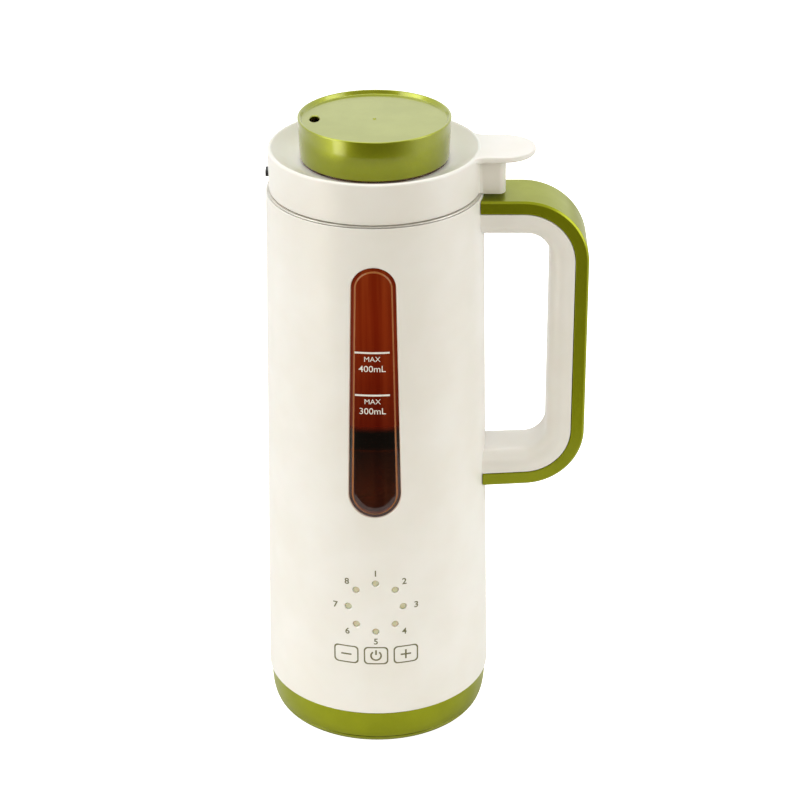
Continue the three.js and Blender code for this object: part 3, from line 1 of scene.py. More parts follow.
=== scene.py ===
"""One-cup soy milk maker: the visual model over the CAD frame, in the order in which it is put together.

Lengths are in millimetres and become the frame's metres in moulding() and printed(). +X is the side of
the grip, -Y the front with the window, the lights and the keys, and Z runs up the jug's axis.
"""

import bmesh
import bpy
import numpy as np
from mathutils import Matrix


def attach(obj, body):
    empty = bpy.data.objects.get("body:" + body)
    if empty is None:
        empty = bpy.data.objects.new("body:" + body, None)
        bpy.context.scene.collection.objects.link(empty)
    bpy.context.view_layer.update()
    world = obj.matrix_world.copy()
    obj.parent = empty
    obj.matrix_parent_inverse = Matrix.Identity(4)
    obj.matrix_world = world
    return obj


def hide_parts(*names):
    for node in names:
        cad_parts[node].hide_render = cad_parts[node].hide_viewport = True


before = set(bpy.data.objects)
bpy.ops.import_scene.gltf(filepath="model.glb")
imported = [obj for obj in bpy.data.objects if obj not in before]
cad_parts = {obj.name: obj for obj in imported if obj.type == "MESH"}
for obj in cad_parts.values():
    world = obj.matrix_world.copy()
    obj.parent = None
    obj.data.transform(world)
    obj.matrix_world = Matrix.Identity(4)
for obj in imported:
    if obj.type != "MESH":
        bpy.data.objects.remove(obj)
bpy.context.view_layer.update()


# Bottom cover, feet and screws. The cover is a disc of black polypropylene with six vent slots and the
# power board's posts, moulded in a spark-eroded tool, and four steel screws hold it up into the base.
# Four moulded rubber feet are glued into its recesses.
def linear(code):
    """sRGB hex to linear light: ((c + 0.055) / 1.055) to the power 2.4, or c / 12.92 up to 0.04045."""
    c = np.array([int(code[i : i + 2], 16) for i in (1, 3, 5)]) / 255
    c = np.where(c <= 0.04045, c / 12.92, ((c + 0.055) / 1.055) ** 2.4)
    return (*c.tolist(), 1.0)


def add(tree, kind, inputs={}, **settings):
    """Adds one node. Settings are its properties; each input gets a constant, or the output that feeds it."""
    node = tree.nodes.new(kind)
    for key, value in settings.items():
        setattr(node, key, value)
    for key, value in inputs.items():
        if isinstance(value, bpy.types.NodeSocket):
            tree.links.new(value, node.inputs[key])
        else:
            node.inputs[key].default_value = value
    return node


def ranged(tree, value, before, after, **settings):
    """A value carried evenly from the range before to the range after, and held at its ends."""
    ends = {"From Min": before[0], "From Max": before[1], "To Min": after[0], "To Max": after[1]}
    return add(tree, "ShaderNodeMapRange", {"Value": value} | ends, **settings).outputs["Result"]


def blended(tree, share, first, second, **settings):
    """Two colours mixed: the first where share is 0, the second where it is 1."""
    inputs = {0: share, 6: first, 7: second}
    return add(tree, "ShaderNodeMix", inputs, data_type="RGBA", **settings).outputs[2]


def worked(tree, operation, *terms):
    """One step of arithmetic on values."""
    return add(tree, "ShaderNodeMath", dict(enumerate(terms)), operation=operation).outputs[0]


def surface(name, tones, patch, gloss, grain, depth, shader={}):
    """A material with three patterns on Object coordinates: two tones blend over patches of so many mm,
    roughness runs between the two gloss values over those patches, and grain mm wide stands depth mm high."""
    material = bpy.data.materials.new(name)
    material.use_nodes = True
    tree = material.node_tree
    tree.nodes.clear()
    place = add(tree, "ShaderNodeTexCoord").outputs["Object"]
    patches = add(tree, "ShaderNodeTexNoise", {"Vector": place, "Scale": 1000 / patch, "Detail": 3.0})
    even = ranged(tree, patches.outputs["Fac"], (0.35, 0.65), (0.0, 1.0))
    grains = add(tree, "ShaderNodeTexNoise", {"Vector": place, "Scale": 1000 / grain, "Detail": 2.0})
    height = {"Height": grains.outputs["Fac"], "Strength": 1.0, "Distance": depth / 1000}
    patterns = {
        "Base Color": blended(tree, even, linear(tones[0]), linear(tones[1])),
        "Roughness": ranged(tree, even, (0.0, 1.0), gloss),
        "Normal": add(tree, "ShaderNodeBump", height).outputs["Normal"],
    }
    body = add(tree, "ShaderNodeBsdfPrincipled", shader | patterns, name="body")
    add(tree, "ShaderNodeOutputMaterial", {"Surface": body.outputs["BSDF"]}, name="out")
    return material


def feed(tree, key, output):
    """Lets an output drive an input of the material's body."""
    tree.links.new(output, tree.nodes["body"].inputs[key])


def dress(material, *names):
    """Gives CAD nodes whose shape is right their finish."""
    for name in names:
        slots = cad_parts[name].data.materials
        slots.clear()
        slots.append(material)


# Black polypropylene from a spark-eroded mould: an even, dull grain of about 0.4 mm and soft grey glints
black_polypropylene = surface(
    "black_polypropylene", ("#1d1d1e", "#262627"), 9, (0.45, 0.58), 0.4, 0.012, {"IOR": 1.49}
)
# Moulded nitrile rubber: black-grey, dusty and almost without a highlight
foot_rubber = surface("foot_rubber", ("#19191a", "#222222"), 6, (0.75, 0.9), 0.5, 0.02, {"IOR": 1.52})
# Zinc-plated steel from cold heading: bright grey with a faint mottle and fine turning marks
zinc_plated_steel = surface(
    "zinc_plated_steel", ("#b9bcbf", "#a3a7ab"), 2, (0.24, 0.38), 0.3, 0.004, {"Metallic": 1.0}
)

dress(black_polypropylene, "bottom_cover")
dress(foot_rubber, *(f"rubber_foot_{i}" for i in (1, 2, 3, 4)))
dress(zinc_plated_steel, *(f"cover_screw_{i}" for i in (1, 2, 3, 4)))


# Base skirt: one thin-walled ABS moulding under the housing, lacquered in a pearly olive green. Its side
# rolls under to the floor, and a spigot on top of it is pushed up into the housing and clipped there.
def rounded(corners, radii, steps=5, closed=False):
    """A polyline with its corners turned into arcs of the given radii. The arc leaves each side at
    radius / tan(half the corner's angle) from the corner, and is the rational quadratic curve through
    those two points whose middle weight is the sine of half the angle, which is an exact arc. One more
    point just outside each end of the arc keeps the shading of the flat sides flat."""
    p = np.asarray(corners, float)
    first = p[..., -1:, :] if closed else 2 * p[..., :1, :] - p[..., 1:2, :]
    last = p[..., :1, :] if closed else 2 * p[..., -1:, :] - p[..., -2:-1, :]
    before = np.concatenate([first, p[..., :-1, :]], -2) - p
    after = np.concatenate([p[..., 1:, :], last], -2) - p
    run_in, run_out = (np.linalg.norm(side, axis=-1, keepdims=True) for side in (before, after))
    before, after = before / run_in, after / run_out
    half = np.arccos(np.clip((before * after).sum(-1, keepdims=True), -1, 1)) / 2
    reach = np.asarray(radii, float)[:, None] / np.tan(half)
    hold_in = reach + np.clip(0.3 * (run_in - reach - np.roll(reach, 1, -2)), 0, 0.2 * reach)
    hold_out = reach + np.clip(0.3 * (run_out - reach - np.roll(reach, -1, -2)), 0, 0.2 * reach)
    s = np.linspace(0, 1, steps + 1)[:, None]
    a, b, c = (q[..., None, :] for q in (p + before * reach, p, p + after * reach))
    weight = np.sin(half)[..., None, :]
    arc = (1 - s) ** 2 * a + 2 * s * (1 - s) * weight * b + s**2 * c
    arc = arc / ((1 - s) ** 2 + 2 * s * (1 - s) * weight + s**2)
    held = [q[..., None, :] for q in (p + before * hold_in, p + after * hold_out)]
    curve = np.concatenate([held[0], arc, held[1]], -2)
    curve = curve.reshape(*p.shape[:-2], -1, 2)
    return np.concatenate([curve, curve[..., :1, :]], -2) if closed else curve


def turned(profile, sides=128, start=0.0):
    """A profile of (radius, level) carried round the axis: x is radius times cosine, y radius times sine."""
    angle = start + np.linspace(0, 2 * np.pi, sides + 1)
    radius, level = (np.asarray(profile)[:, i, None] for i in (0, 1))
    return np.stack(np.broadcast_arrays(radius * np.cos(angle), radius * np.sin(angle), level), -1)


def smoothed(mesh, crease):
    """Shades a mesh smooth, and leaves only those edges sharp that turn by more than crease degrees."""
    mesh.shade_smooth()
    mesh.set_sharp_from_angle(angle=np.radians(crease))
    return mesh


def moulding(name, grids, crease=35):
    """One skin in metres from grids of points in mm: neighbours in a grid span quads, points within a
    micrometre weld, open ends are closed flat, and only edges sharper than crease degrees stay sharp."""
    faces, count = [], 0
    for grid in grids:
        rows, cols = grid.shape[:2]
        a = (count + np.arange(rows - 1)[:, None] * cols + np.arange(cols - 1)).reshape(-1)
        faces.append(np.stack([a, a + 1, a + cols + 1, a + cols], -1))
        count += rows * cols
    points = np.concatenate([grid.reshape(-1, 3) for grid in grids]) / 1000
    mesh = bpy.data.meshes.new(name)
    mesh.from_pydata(points.tolist(), [], np.concatenate(faces).tolist())
    work = bmesh.new()
    work.from_mesh(mesh)
    bmesh.ops.remove_doubles(work, verts=work.verts, dist=1e-6)
    bmesh.ops.dissolve_degenerate(work, edges=work.edges, dist=1e-7)
    bmesh.ops.holes_fill(work, edges=[e for e in work.edges if e.is_boundary], sides=0)
    bmesh.ops.recalc_face_normals(work, faces=work.faces)
    work.to_mesh(mesh)
    work.free()
    return smoothed(mesh, crease)


def placed(name, data):
    """A new object in the scene."""
    made = bpy.data.objects.new(name, data)
    bpy.context.scene.collection.objects.link(made)
    return made


def piece(mesh, material, body, slot, *replaced):
    """Puts a mesh into the scene on a body of the frame, in place of the CAD nodes named. The slot is not
    used.
    """
    made = placed(mesh.name, mesh)
    mesh.materials.append(material)
    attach(made, body)
    if replaced:
        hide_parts(*replaced)


# The side falls and rolls under as a quarter of (across / roll_width) ** 2.9 + (down / height) ** 2.9 = 1,
# with closer rows where the groove runs. The groove is the parting line of the moulding tool.
shoulder, base_foot, skirt_wall = 17.5, 1.0, 2.0
foot_radius, roll_width, roll_power = 40.4, 6.66, 2.9
groove_level, groove_depth, groove_half = 4.6, 0.35, 0.25
floor_hole, spigot_bore = 37.1, 43.5
roll = np.append(np.linspace(0, np.pi / 2, 26), np.linspace(0.7, 0.84, 17))
roll.sort()
roll_across, roll_down = (np.abs(f(roll)) ** (2 / roll_power) for f in (np.cos, np.sin))


def rolled_under(wall):
    """The roll's line, wall mm inside the outer face, as (radius, level) from the shoulder down."""
    drop = shoulder - base_foot - wall
    return np.stack([foot_radius - wall + roll_width * roll_across, shoulder - drop * roll_down], -1)


skirt_outside = rolled_under(0)
skirt_outside[:, 0] -= groove_depth * np.exp(-(((skirt_outside[:, 1] - groove_level) / groove_half) ** 2))
skirt_inside = rolled_under(skirt_wall)
skirt_inside = skirt_inside[skirt_inside[:, 0] < spigot_bore][::-1]
skirt_floor = [(floor_hole, base_foot), (floor_hole, base_foot + skirt_wall)]
spigot = [(spigot_bore, 15.5), (spigot_bore, 22.5), (45.3, 22.5), (45.3, 17.6), (46.2, shoulder)]
spigot += [(foot_radius + roll_width, shoulder), (foot_radius + roll_width, 17.2)]
spigot = rounded(spigot, [0, 0.3, 0.3, 0.1, 0, 0.28, 0])
skirt = np.concatenate([skirt_outside[1:], skirt_floor, skirt_inside, spigot, skirt_outside[1:2]])

# Pearl lacquer on ABS: olive, with mica flakes that lie flat, so it shines like a dull metal under a
# clear coat. Real flakes are 0.05 mm; they are drawn 0.3 mm wide so that they show.
lacquered = {"Metallic": 0.7, "IOR": 1.5, "Specular IOR Level": 0.1}
lacquered |= {"Coat Weight": 0.22, "Coat Roughness": 0.12, "Coat IOR": 1.5}
pearl_olive = surface(
    "pearl_olive_lacquer", ("#91980f", "#8a910a"), 14, (0.33, 0.38), 0.7, 0.002, lacquered
)
lacquer = pearl_olive.node_tree
place = add(lacquer, "ShaderNodeTexCoord").outputs["Object"]
flakes = add(lacquer, "ShaderNodeTexVoronoi", {"Vector": place, "Scale": 3300.0}).outputs["Color"]
flake_share = ranged(lacquer, flakes, (0.0, 1.0), (0.0, 0.08))
unflaked = lacquer.nodes["body"].inputs["Base Color"].links[0].from_socket
flaked = blended(lacquer, flake_share, unflaked, linear("#c4c43c"))
# Painted shade: a dark line is painted along the skirt's groove at its level, standing in for the shade that
# falls in it
height = add(lacquer, "ShaderNodeSeparateXYZ", {"Vector": place}).outputs["Z"]
groove_shade_share = worked(lacquer, "COMPARE", height, groove_level / 1000, groove_half / 1000)
groove_shaded = blended(lacquer, groove_shade_share, flaked, linear("#5c6006"))
feed(lacquer, "Base Color", groove_shaded)

piece(moulding("base_skirt", [turned(skirt)]), pearl_olive, "jug", "green_plastic", "base_shell")


# Power board on the cover's posts: glass-epoxy laminate with a green solder mask, its mains parts
# hanging from its underside.
# Solder mask over copper: deep green, glossy in the runs and duller where the glass weave shows, 0.5 mm
solder_mask = surface("solder_mask", ("#14502f", "#0f3f26"), 3, (0.22, 0.45), 0.5, 0.01, {"IOR": 1.55})
dress(solder_mask, "power_board")


# Motor: a drawn steel can with two ferrite magnets, an end cap with the brushes, and the armature on a
# ground shaft in two bearings. The fan under it and the blades over it turn with the shaft.
# Drawn and blackened steel: dark grey with a soft metallic sheen and a fine draw texture
blackened_steel = surface(
    "blackened_steel", ("#4c4d50", "#3d3e41"), 8, (0.32, 0.46), 0.6, 0.006, {"Metallic": 1.0}
)
# Pressed and fired ferrite, and carbon for the brushes: matt grey-black with a sandy 0.3 mm grain
pressed_ferrite = surface("pressed_ferrite", ("#2e3033", "#3a3c40"), 4, (0.6, 0.8), 0.3, 0.015, {"IOR": 1.6})
# Varnished copper wire over steel laminations: red-brown metal under an amber coat, in 0.5 mm turns
wound_copper = surface(
    "wound_copper", ("#a8562f", "#7c3d22"), 2, (0.3, 0.45), 0.5, 0.04, {"Metallic": 0.9, "Coat Weight": 0.4}
)
dress(blackened_steel, "motor_can")
dress(black_polypropylene, "motor_end_cap", "cooling_fan", "motor_bracket")
dress(pressed_ferrite, "motor_magnet_1", "motor_magnet_2", "brush_left", "brush_right")
dress(wound_copper, "rotor")
dress(zinc_plated_steel, "upper_bearing", "lower_bearing", "drive_shaft")
dress(zinc_plated_steel, *(f"bracket_screw_{i}" for i in (1, 2, 3)), "motor_screw_1", "motor_screw_2")


# Heating bowl: the jug's bottom, deep-drawn from 1 mm stainless steel and brushed round its axis, with
# a heating ring and a sensor pressed under its floor and a silicone seal round the shaft.
bowl_wall, bowl_floor, bowl_rim = 40.75, 98.0, 108.5
bowl_hole, bowl_sheet, bowl_flange = 8.3, 1, bowl_wall + 2.1
bowl_outer = bowl_wall + bowl_sheet
bowl = [(bowl_hole, bowl_floor - bowl_sheet), (bowl_outer, bowl_floor - bowl_sheet)]
bowl += [(bowl_outer, bowl_rim - bowl_sheet), (bowl_flange, bowl_rim - bowl_sheet), (bowl_flange, bowl_rim)]
bowl += [(bowl_wall, bowl_rim), (bowl_wall, bowl_floor), (bowl_hole, bowl_floor)]
bowl = rounded(bowl, [0.2, 8, 0.1, 0.1, 0.3, 0.4, 7, 0.2], 8, closed=True)
# Brushed 18/8 stainless steel: light warm grey with fine rings round the axis. The real brush lines
# are 0.05 mm apart; they are drawn 0.35 mm apart so that they show.
brushed_stainless = surface(
    "brushed_stainless", ("#c9c7c2", "#b5b3ad"), 12, (0.2, 0.32), 0.5, 0.002, {"Metallic": 1.0}
)
brushing = brushed_stainless.node_tree
place = add(brushing, "ShaderNodeTexCoord").outputs["Object"]
spot = add(brushing, "ShaderNodeSeparateXYZ", {"Vector": place}).outputs
flat_spot = add(brushing, "ShaderNodeCombineXYZ", {"X": spot["X"], "Y": spot["Y"]}).outputs["Vector"]
from_axis = add(brushing, "ShaderNodeVectorMath", {0: flat_spot}, operation="LENGTH").outputs["Value"]
ring_place = add(brushing, "ShaderNodeCombineXYZ", {"X": from_axis, "Y": spot["Z"]}).outputs["Vector"]
brush_lines = add(brushing, "ShaderNodeTexNoise", {"Vector": ring_place, "Scale": 2800.0, "Detail": 2.0})
brush_height = {"Height": brush_lines.outputs["Fac"], "Strength": 1.0, "Distance": 0.000012}
brush_relief = add(brushing, "ShaderNodeBump", brush_height).outputs["Normal"]
feed(brushing, "Normal", brush_relief)
# Die-cast aluminium: pale grey, dull and slightly pitted
cast_aluminium = surface(
    "cast_aluminium", ("#9a9c9e", "#86898c"), 5, (0.45, 0.6), 0.8, 0.03, {"Metallic": 1.0}
)
# Moulded silicone: milky grey, soft and matt, with light going a little way in
silicone = {"IOR": 1.41, "Subsurface Weight": 0.15, "Subsurface Scale": 0.002}
moulded_silicone = surface("moulded_silicone", ("#cbc9c2", "#c0beb6"), 10, (0.5, 0.62), 0.6, 0.006, silicone)
piece(
    moulding("drawn_bowl", [turned(bowl, 96)]), brushed_stainless, "jug", "stainless_steel", "heating_bowl"
)
dress(cast_aluminium, "heating_element", "temperature_sensor")
dress(moulded_silicone, "shaft_seal", "cup_seal")
dress(brushed_stainless, "lower_blade", "upper_blade", "blade_nut")


# Jug wall: a clear copolyester sleeve tinted amber, injection-moulded and polished, that stands on the
# bowl's seal and reaches up to the mouth. It follows the housing's cone.
top_level, foot_level, cone_foot, cone_fall = 240.5, 17.8, 48, 3.7


def body_radius(level):
    """Outer radius of the housing's cone, which falls evenly from its foot up to its top."""
    return cone_foot - cone_fall * (level - foot_level) / (top_level - foot_level)


def see_through(name, tones, roughness, clear_share, glare):
    """Tinted clear plastic: a glass-like body, and for shadow rays a plain tinted window, so that lamps
    light what stands behind it as they do in life. Light passes two faces of a wall, so each face takes
    the square root of the tint."""
    glassy = {"Transmission Weight": clear_share, "IOR": 1.56, "Specular IOR Level": glare}
    material = surface(name, tones, 30, (roughness, roughness * 1.6), 8, 0.004, glassy)
    tree = material.node_tree
    for_shadow = add(tree, "ShaderNodeLightPath").outputs["Is Shadow Ray"]
    one_face = tuple(np.sqrt(linear(tones[0])).tolist())
    clear = add(tree, "ShaderNodeBsdfTransparent", {"Color": one_face}).outputs["BSDF"]
    body = tree.nodes["body"].outputs["BSDF"]
    either = add(tree, "ShaderNodeMixShader", {0: for_shadow, 1: body, 2: clear})
    tree.links.new(either.outputs["Shader"], tree.nodes["out"].inputs["Surface"])
    return material


# Amber copolyester: deep red-brown where two walls lie behind each other, orange along its edges
amber_copolyester = see_through("amber_copolyester", ("#eab585", "#e4a873"), 0.03, 0.97, 0.1)
cup_foot, cup_inside, cup_outside = 110.6, 5.75, 3.95
cup = [(body_radius(cup_foot) - depth, cup_foot) for depth in (cup_inside, cup_outside)]
cup += [(body_radius(top_level) - depth, top_level) for depth in (cup_outside, cup_inside)]
cup = rounded(cup, [0.3] * 4, closed=True)
piece(moulding("jug_sleeve", [turned(cup)]), amber_copolyester, "jug", "amber_plastic", "inner_cup")

# Ledge ring: pressed stainless steel over the top edges of housing and jug, on which the lid rests
ledge_under, ledge_face, ledge_tail = 240.8, 241.3, 236.3
ledge = [(38.55, ledge_under), (40.65, ledge_under), (40.65, ledge_tail), (41.25, ledge_tail)]
ledge += [(41.25, ledge_under), (44, ledge_under), (44, ledge_face), (38.55, ledge_face)]
ledge = rounded(ledge, [0.15, 0.1, 0.1, 0.1, 0.1, 0.2, 0.24, 0.2], closed=True)
# Blasted 18/8 stainless steel: paler than the bowl, dull and even, with a fine 0.3 mm speckle
blasted_stainless = surface(
    "blasted_stainless", ("#dcd9d1", "#cdcac1"), 6, (0.42, 0.52), 0.3, 0.004, {"Metallic": 1.0}
)
piece(moulding("ledge_ring", [turned(ledge)]), blasted_stainless, "jug", "stainless_steel", "rim_ring")


# Control board behind the panel, with the light guide in front of it and three touch springs. The guide
# is one milky acrylic moulding: a ring with eight round posts that end just inside the panel's holes.
def aimed(grid, place, outward):
    """Turns a grid made round +Z so that its +Z looks along outward, level with the floor, and moves it."""
    z = np.asarray(outward, float) / np.linalg.norm(outward)
    x = np.cross((0, 0, 1), z)
    return grid @ np.array([x, np.cross(z, x), z]) + np.asarray(place)


ring_level, ring_radius, light_radius = 70.0, 11.6, 1.5
light_turns = np.pi / 2 + np.arange(8) * np.pi / 4
light_x, light_z = ring_radius * np.cos(light_turns), ring_level + ring_radius * np.sin(light_turns)
light_depth = np.sqrt(body_radius(light_z) ** 2 - light_x**2)
lights = list(zip(light_x, light_z, light_depth))
post = rounded([(0, -0.42), (0.9, -0.45), (1.38, -0.62), (1.38, -6.5), (0, -6.5)], [0, 0.5, 0.1, 0.1, 0], 4)
guide_ring = rounded([(10, 39.2), (13.2, 39.2), (13.2, 40.4), (10, 40.4)], [0.2] * 4, closed=True)
guide = [aimed(turned(post, 32), (x, -d, z), (x, -d, 0)) for x, z, d in lights]
guide.append(aimed(turned(guide_ring, 64), (0, 0, ring_level), (0, -1, 0)))
# Milky acrylic: pale olive-grey, dull on its ends, with light going some way in
acrylic = {"IOR": 1.49, "Subsurface Weight": 0.4, "Subsurface Scale": 0.001}
milky_acrylic = surface("milky_acrylic", ("#d2ceb0", "#c6c29c"), 4, (0.3, 0.42), 0.8, 0.004, acrylic)
piece(moulding("light_posts", guide), milky_acrylic, "jug", "clear_plastic", "light_guide")
dress(solder_mask, "control_board")
dress(zinc_plated_steel, *(f"touch_spring_{i}" for i in (1, 2, 3)))


# Mains inlet in the back of the housing: black glass-filled nylon with three brass pins moulded in.
# Bright rolled brass: yellow, with fine marks from stamping
rolled_brass = surface("rolled_brass", ("#c9a553", "#b8933f"), 3, (0.22, 0.36), 0.4, 0.004, {"Metallic": 1.0})
dress(black_polypropylene, "inlet_housing")
dress(rolled_brass, "inlet_pin_live", "inlet_pin_earth", "inlet_pin_neutral")


# Outer housing: one ivory ABS moulding, a tall cone open at both ends with the grip's inner channel
# growing out of its side. The window's slot has softly rounded edges, eight holes let the lights
# through, and an opening with a recess round it takes the inlet in the back.
wall, lip = 2.2, 1.0
slot_top, slot_foot, slot_top_half, slot_foot_half = 214.85, 123.5, 9.15, 10.9
ends, sides = 96, 32


def once_round(*parts):
    """Four stretches of samples, over the top, down the right, under the foot and up the left, closed."""
    counts = (ends, sides) * 2
    loop = np.concatenate([np.linspace(a, b, n, endpoint=False) for (a, b), n in zip(parts, counts)])
    return np.append(loop, loop[:1])


def between(top, foot):
    """A measure that is even over the top and under the foot and runs evenly between them on the sides."""
    return once_round((top, top), (top, foot), (foot, foot), (foot, top))


slot_turn = once_round((np.pi, 0), (0, 0), (0, -np.pi), (-np.pi, -np.pi))
slot_middle = between(slot_top, slot_foot)
slot_half = between(slot_top_half, slot_foot_half)
sheet_turn = once_round((-np.pi, np.pi), (np.pi, np.pi), (np.pi, -np.pi), (-np.pi, -np.pi))
sheet_level = between(top_level - lip, foot_level + lip)


def on_body(outset, depth, share=0.0):
    """Points on loops between the window and the unrolled body. A loop starts as the window's outline, its
    middle line plus its half width plus outset, and by share it blends evenly, in angle round the axis
    and in level, into the edges of the whole unrolled sheet. It lies depth under the cone's surface."""
    outset, depth, share = (np.asarray(v, float)[:, None] for v in np.broadcast_arrays(outset, depth, share))
    reach = slot_half + outset
    level = slot_middle + reach * np.sin(slot_turn)
    turn = np.arcsin(reach * np.cos(slot_turn) / body_radius(level))
    level = level * (1 - share) + sheet_level * share
    turn = turn * (1 - share) + sheet_turn * share
    radius = body_radius(level) - depth
    return np.stack([radius * np.sin(turn), -radius * np.cos(turn), level], -1)


def cut_out(mesh, tool):
    """Takes a tool's space out of a closed mesh with an exact boolean, and bakes the result."""
    body, knife = (placed(f"{m.name}_blank", m) for m in (mesh, tool))
    step = body.modifiers.new("cut", "BOOLEAN")
    step.operation, step.solver, step.object = "DIFFERENCE", "EXACT", knife
    baked = bpy.data.meshes.new_from_object(body.evaluated_get(bpy.context.evaluated_depsgraph_get()))
    for blank, used in ((body, mesh), (knife, tool)):
        bpy.data.objects.remove(blank)
        bpy.data.meshes.remove(used)
    return baked


def joined(name, crease, *meshes):
    """Several meshes as the islands of one."""
    work = bmesh.new()
    for mesh in meshes:
        work.from_mesh(mesh)
    made = bpy.data.meshes.new(name)
    work.to_mesh(made)
    work.free()
    for mesh in meshes:
        bpy.data.meshes.remove(mesh)
    return smoothed(made, crease)


arm_start, rise_start = 38, 47


def grip_rail(top, side, foot, rise, top_bend, foot_bend):
    """A line round the grip seen from the side, as (x, z): level along the top arm, an arc, straight down,
    an arc, and back along the lower arm, which rises by rise for each mm outwards from rise_start."""
    lean = np.arctan(rise)
    down = np.linspace(np.pi / 2, 0, 25)
    back = np.linspace(0, lean - np.pi / 2, 25)
    top_x, top_z = side - top_bend, top - top_bend
    foot_x = side - foot_bend
    foot_z = foot + rise * (foot_x - rise_start) + foot_bend / np.cos(lean)
    top_arc = np.stack([top_x + top_bend * np.cos(down), top_z + top_bend * np.sin(down)], -1)
    foot_arc = np.stack([foot_x + foot_bend * np.cos(back), foot_z + foot_bend * np.sin(back)], -1)
    share = np.linspace(0, 1, 14)[1:-1, None]
    straight = top_arc[-1] * (1 - share) + foot_arc[0] * share
    foot_end = foot + rise * (arm_start - rise_start)
    return np.concatenate([[(arm_start, top)], top_arc, straight, foot_arc, [(arm_start, foot_end)]])


def grip_grid(rail, towards, section, gap, starts):
    """A section carried round the grip. At each place of the rail the section is drawn across the grip and
    in the direction of the other rail, and each of its points runs on along the arms until it is gap
    outside the cone; the arms' first rows stand at the distances in starts from there."""
    apart = towards - rail
    depth = np.linalg.norm(apart, axis=1, keepdims=True)
    inward = apart / depth
    flat = section(depth[:, 0])
    across, deep = flat[..., 0], flat[..., 1]
    points = np.stack([rail[:, :1] + inward[:, :1] * deep, across, rail[:, 1:] + inward[:, 1:] * deep], -1)

    def arm(far, near):
        low, high = np.zeros(len(far)), np.ones(len(far))
        for _ in range(40):
            middle = (low + high) / 2
            p = far + (near - far) * middle[:, None]
            inside = np.hypot(p[:, 0], p[:, 1]) < body_radius(p[:, 2]) + gap
            low, high = np.where(inside, middle, low), np.where(inside, high, middle)
        root = far + (near - far) * low[:, None]
        along = near - root
        length = np.linalg.norm(along, axis=1, keepdims=True)
        return np.stack([root + along / length * s for s in starts])

    top, foot = arm(points[0], points[1]), arm(points[-1], points[-2])[::-1]
    return np.concatenate([top, points[1:-1], foot])


# The grip's lines: the seam between channel and cover, and the edge of the finger hole
seam_rail = grip_rail(233.9, 81.8, 115.4, 0.057, 21.6, 20.1)
hole_rail = grip_rail(223.8, 71.55, 125.4, 0.03, 10, 10)
grip_half, grip_edge, channel_half, channel_floor, seam_gap = 12.8, 6.0, 7.5, 2.0, 0.3


def channel_section(depth):
    """The grip's channel across: flat sides, well rounded edges for the fingers, open towards the cover."""
    d, floor_there = depth, depth - channel_floor
    c = np.full_like(d, seam_gap)
    h, k = np.full_like(d, grip_half), np.full_like(d, channel_half)
    corners = [(h, c), (h, d), (-h, d), (-h, c), (-k, c), (-k, floor_there), (k, floor_there), (k, c)]
    corners = np.moveaxis(np.array(corners), -1, 0)
    return rounded(corners, [0.25, grip_edge, grip_edge, 0.25, 0.25, 0.5, 0.5, 0.25], 7, closed=True)


grip = grip_grid(seam_rail, hole_rail, channel_section, -1.1, [0, 1.2, 3, 6, 10])

# Loops from the edge of the sheet to the slot, over its rounded edge, through the wall and back inside
spread = np.linspace(0, 1, 46)[1:] ** 1.5
rows, edge = len(spread), 0.55
edge_turn = np.linspace(0, np.pi / 2, 7)
edge_out, edge_down = edge * (1 - np.sin(edge_turn)), edge * (1 - np.cos(edge_turn))
outset = np.concatenate([[edge] * rows, [edge * 1.2], edge_out, [0], [0.3], [edge] * rows])
depth = np.concatenate([[0] * rows, [0], edge_down, [wall - 0.3], [wall], [wall] * rows])
share = np.concatenate([spread[::-1], np.zeros(len(outset) - 2 * rows), spread])
sleeve = [on_body(outset, depth, share)]
for edge_level, turn_in, edge_round in ((top_level, -1, 0.3), (foot_level, 1, 0.7)):
    inner_level = edge_level + turn_in * lip
    r, inner_r = body_radius(edge_level), body_radius(inner_level)
    lips = [(inner_r, inner_level), (r, edge_level), (r - wall, edge_level), (inner_r - wall, inner_level)]
    sleeve.append(turned(rounded(lips, [0, edge_round, 0.3, 0], 4), ends, -1.5 * np.pi))

hole_radius, hole_mouth = light_radius, light_radius + 0.3
light_cut = [(0, -6), (hole_radius, -6), (hole_radius, -0.3), (hole_mouth, 0.02), (hole_mouth, 3), (0, 3)]
knives = [aimed(turned(light_cut, 40), (x, -d, z), (x, -d, 0)) for x, z, d in lights]


def rounded_rectangle(width, height, radius, steps=6):
    """A closed loop of points: a rectangle with its corners turned into arcs."""
    x, y = width / 2, height / 2
    return rounded([(x, y), (-x, y), (-x, -y), (x, -y)], [radius] * 4, steps, closed=True)


def stacked(loops, levels):
    """Flat loops of (x, y) stacked up Z at their levels."""
    flat = np.stack(loops)
    levels = np.broadcast_to(np.asarray(levels, float)[:, None, None], (*flat.shape[:2], 1))
    return np.concatenate([flat, levels], -1)


# The inlet's flange lies in a recess, and its body passes through a pad behind the wall
inlet_level, recess_floor, pad_back = 38, 44.9, 41.7
recess_loop = rounded_rectangle(32, 24.6, 4) + (0, inlet_level)
inlet_loop = rounded_rectangle(27.6, 20.2, 1.8) + (0, inlet_level)
pad_face = rounded_rectangle(31.9, 24.5, 4) + (0, inlet_level)
pad_foot = rounded_rectangle(36, 28, 1) + (0, inlet_level)
inlet_cut = [inlet_loop, inlet_loop, recess_loop, recess_loop]
knives.append(stacked(inlet_cut, [40, recess_floor, recess_floor, 60])[..., [0, 2, 1]])
pad_loops = [pad_face, inlet_loop, inlet_loop, pad_foot, pad_face]
pad = stacked(pad_loops, [recess_floor, recess_floor, pad_back, pad_back, recess_floor])[..., [0, 2, 1]]

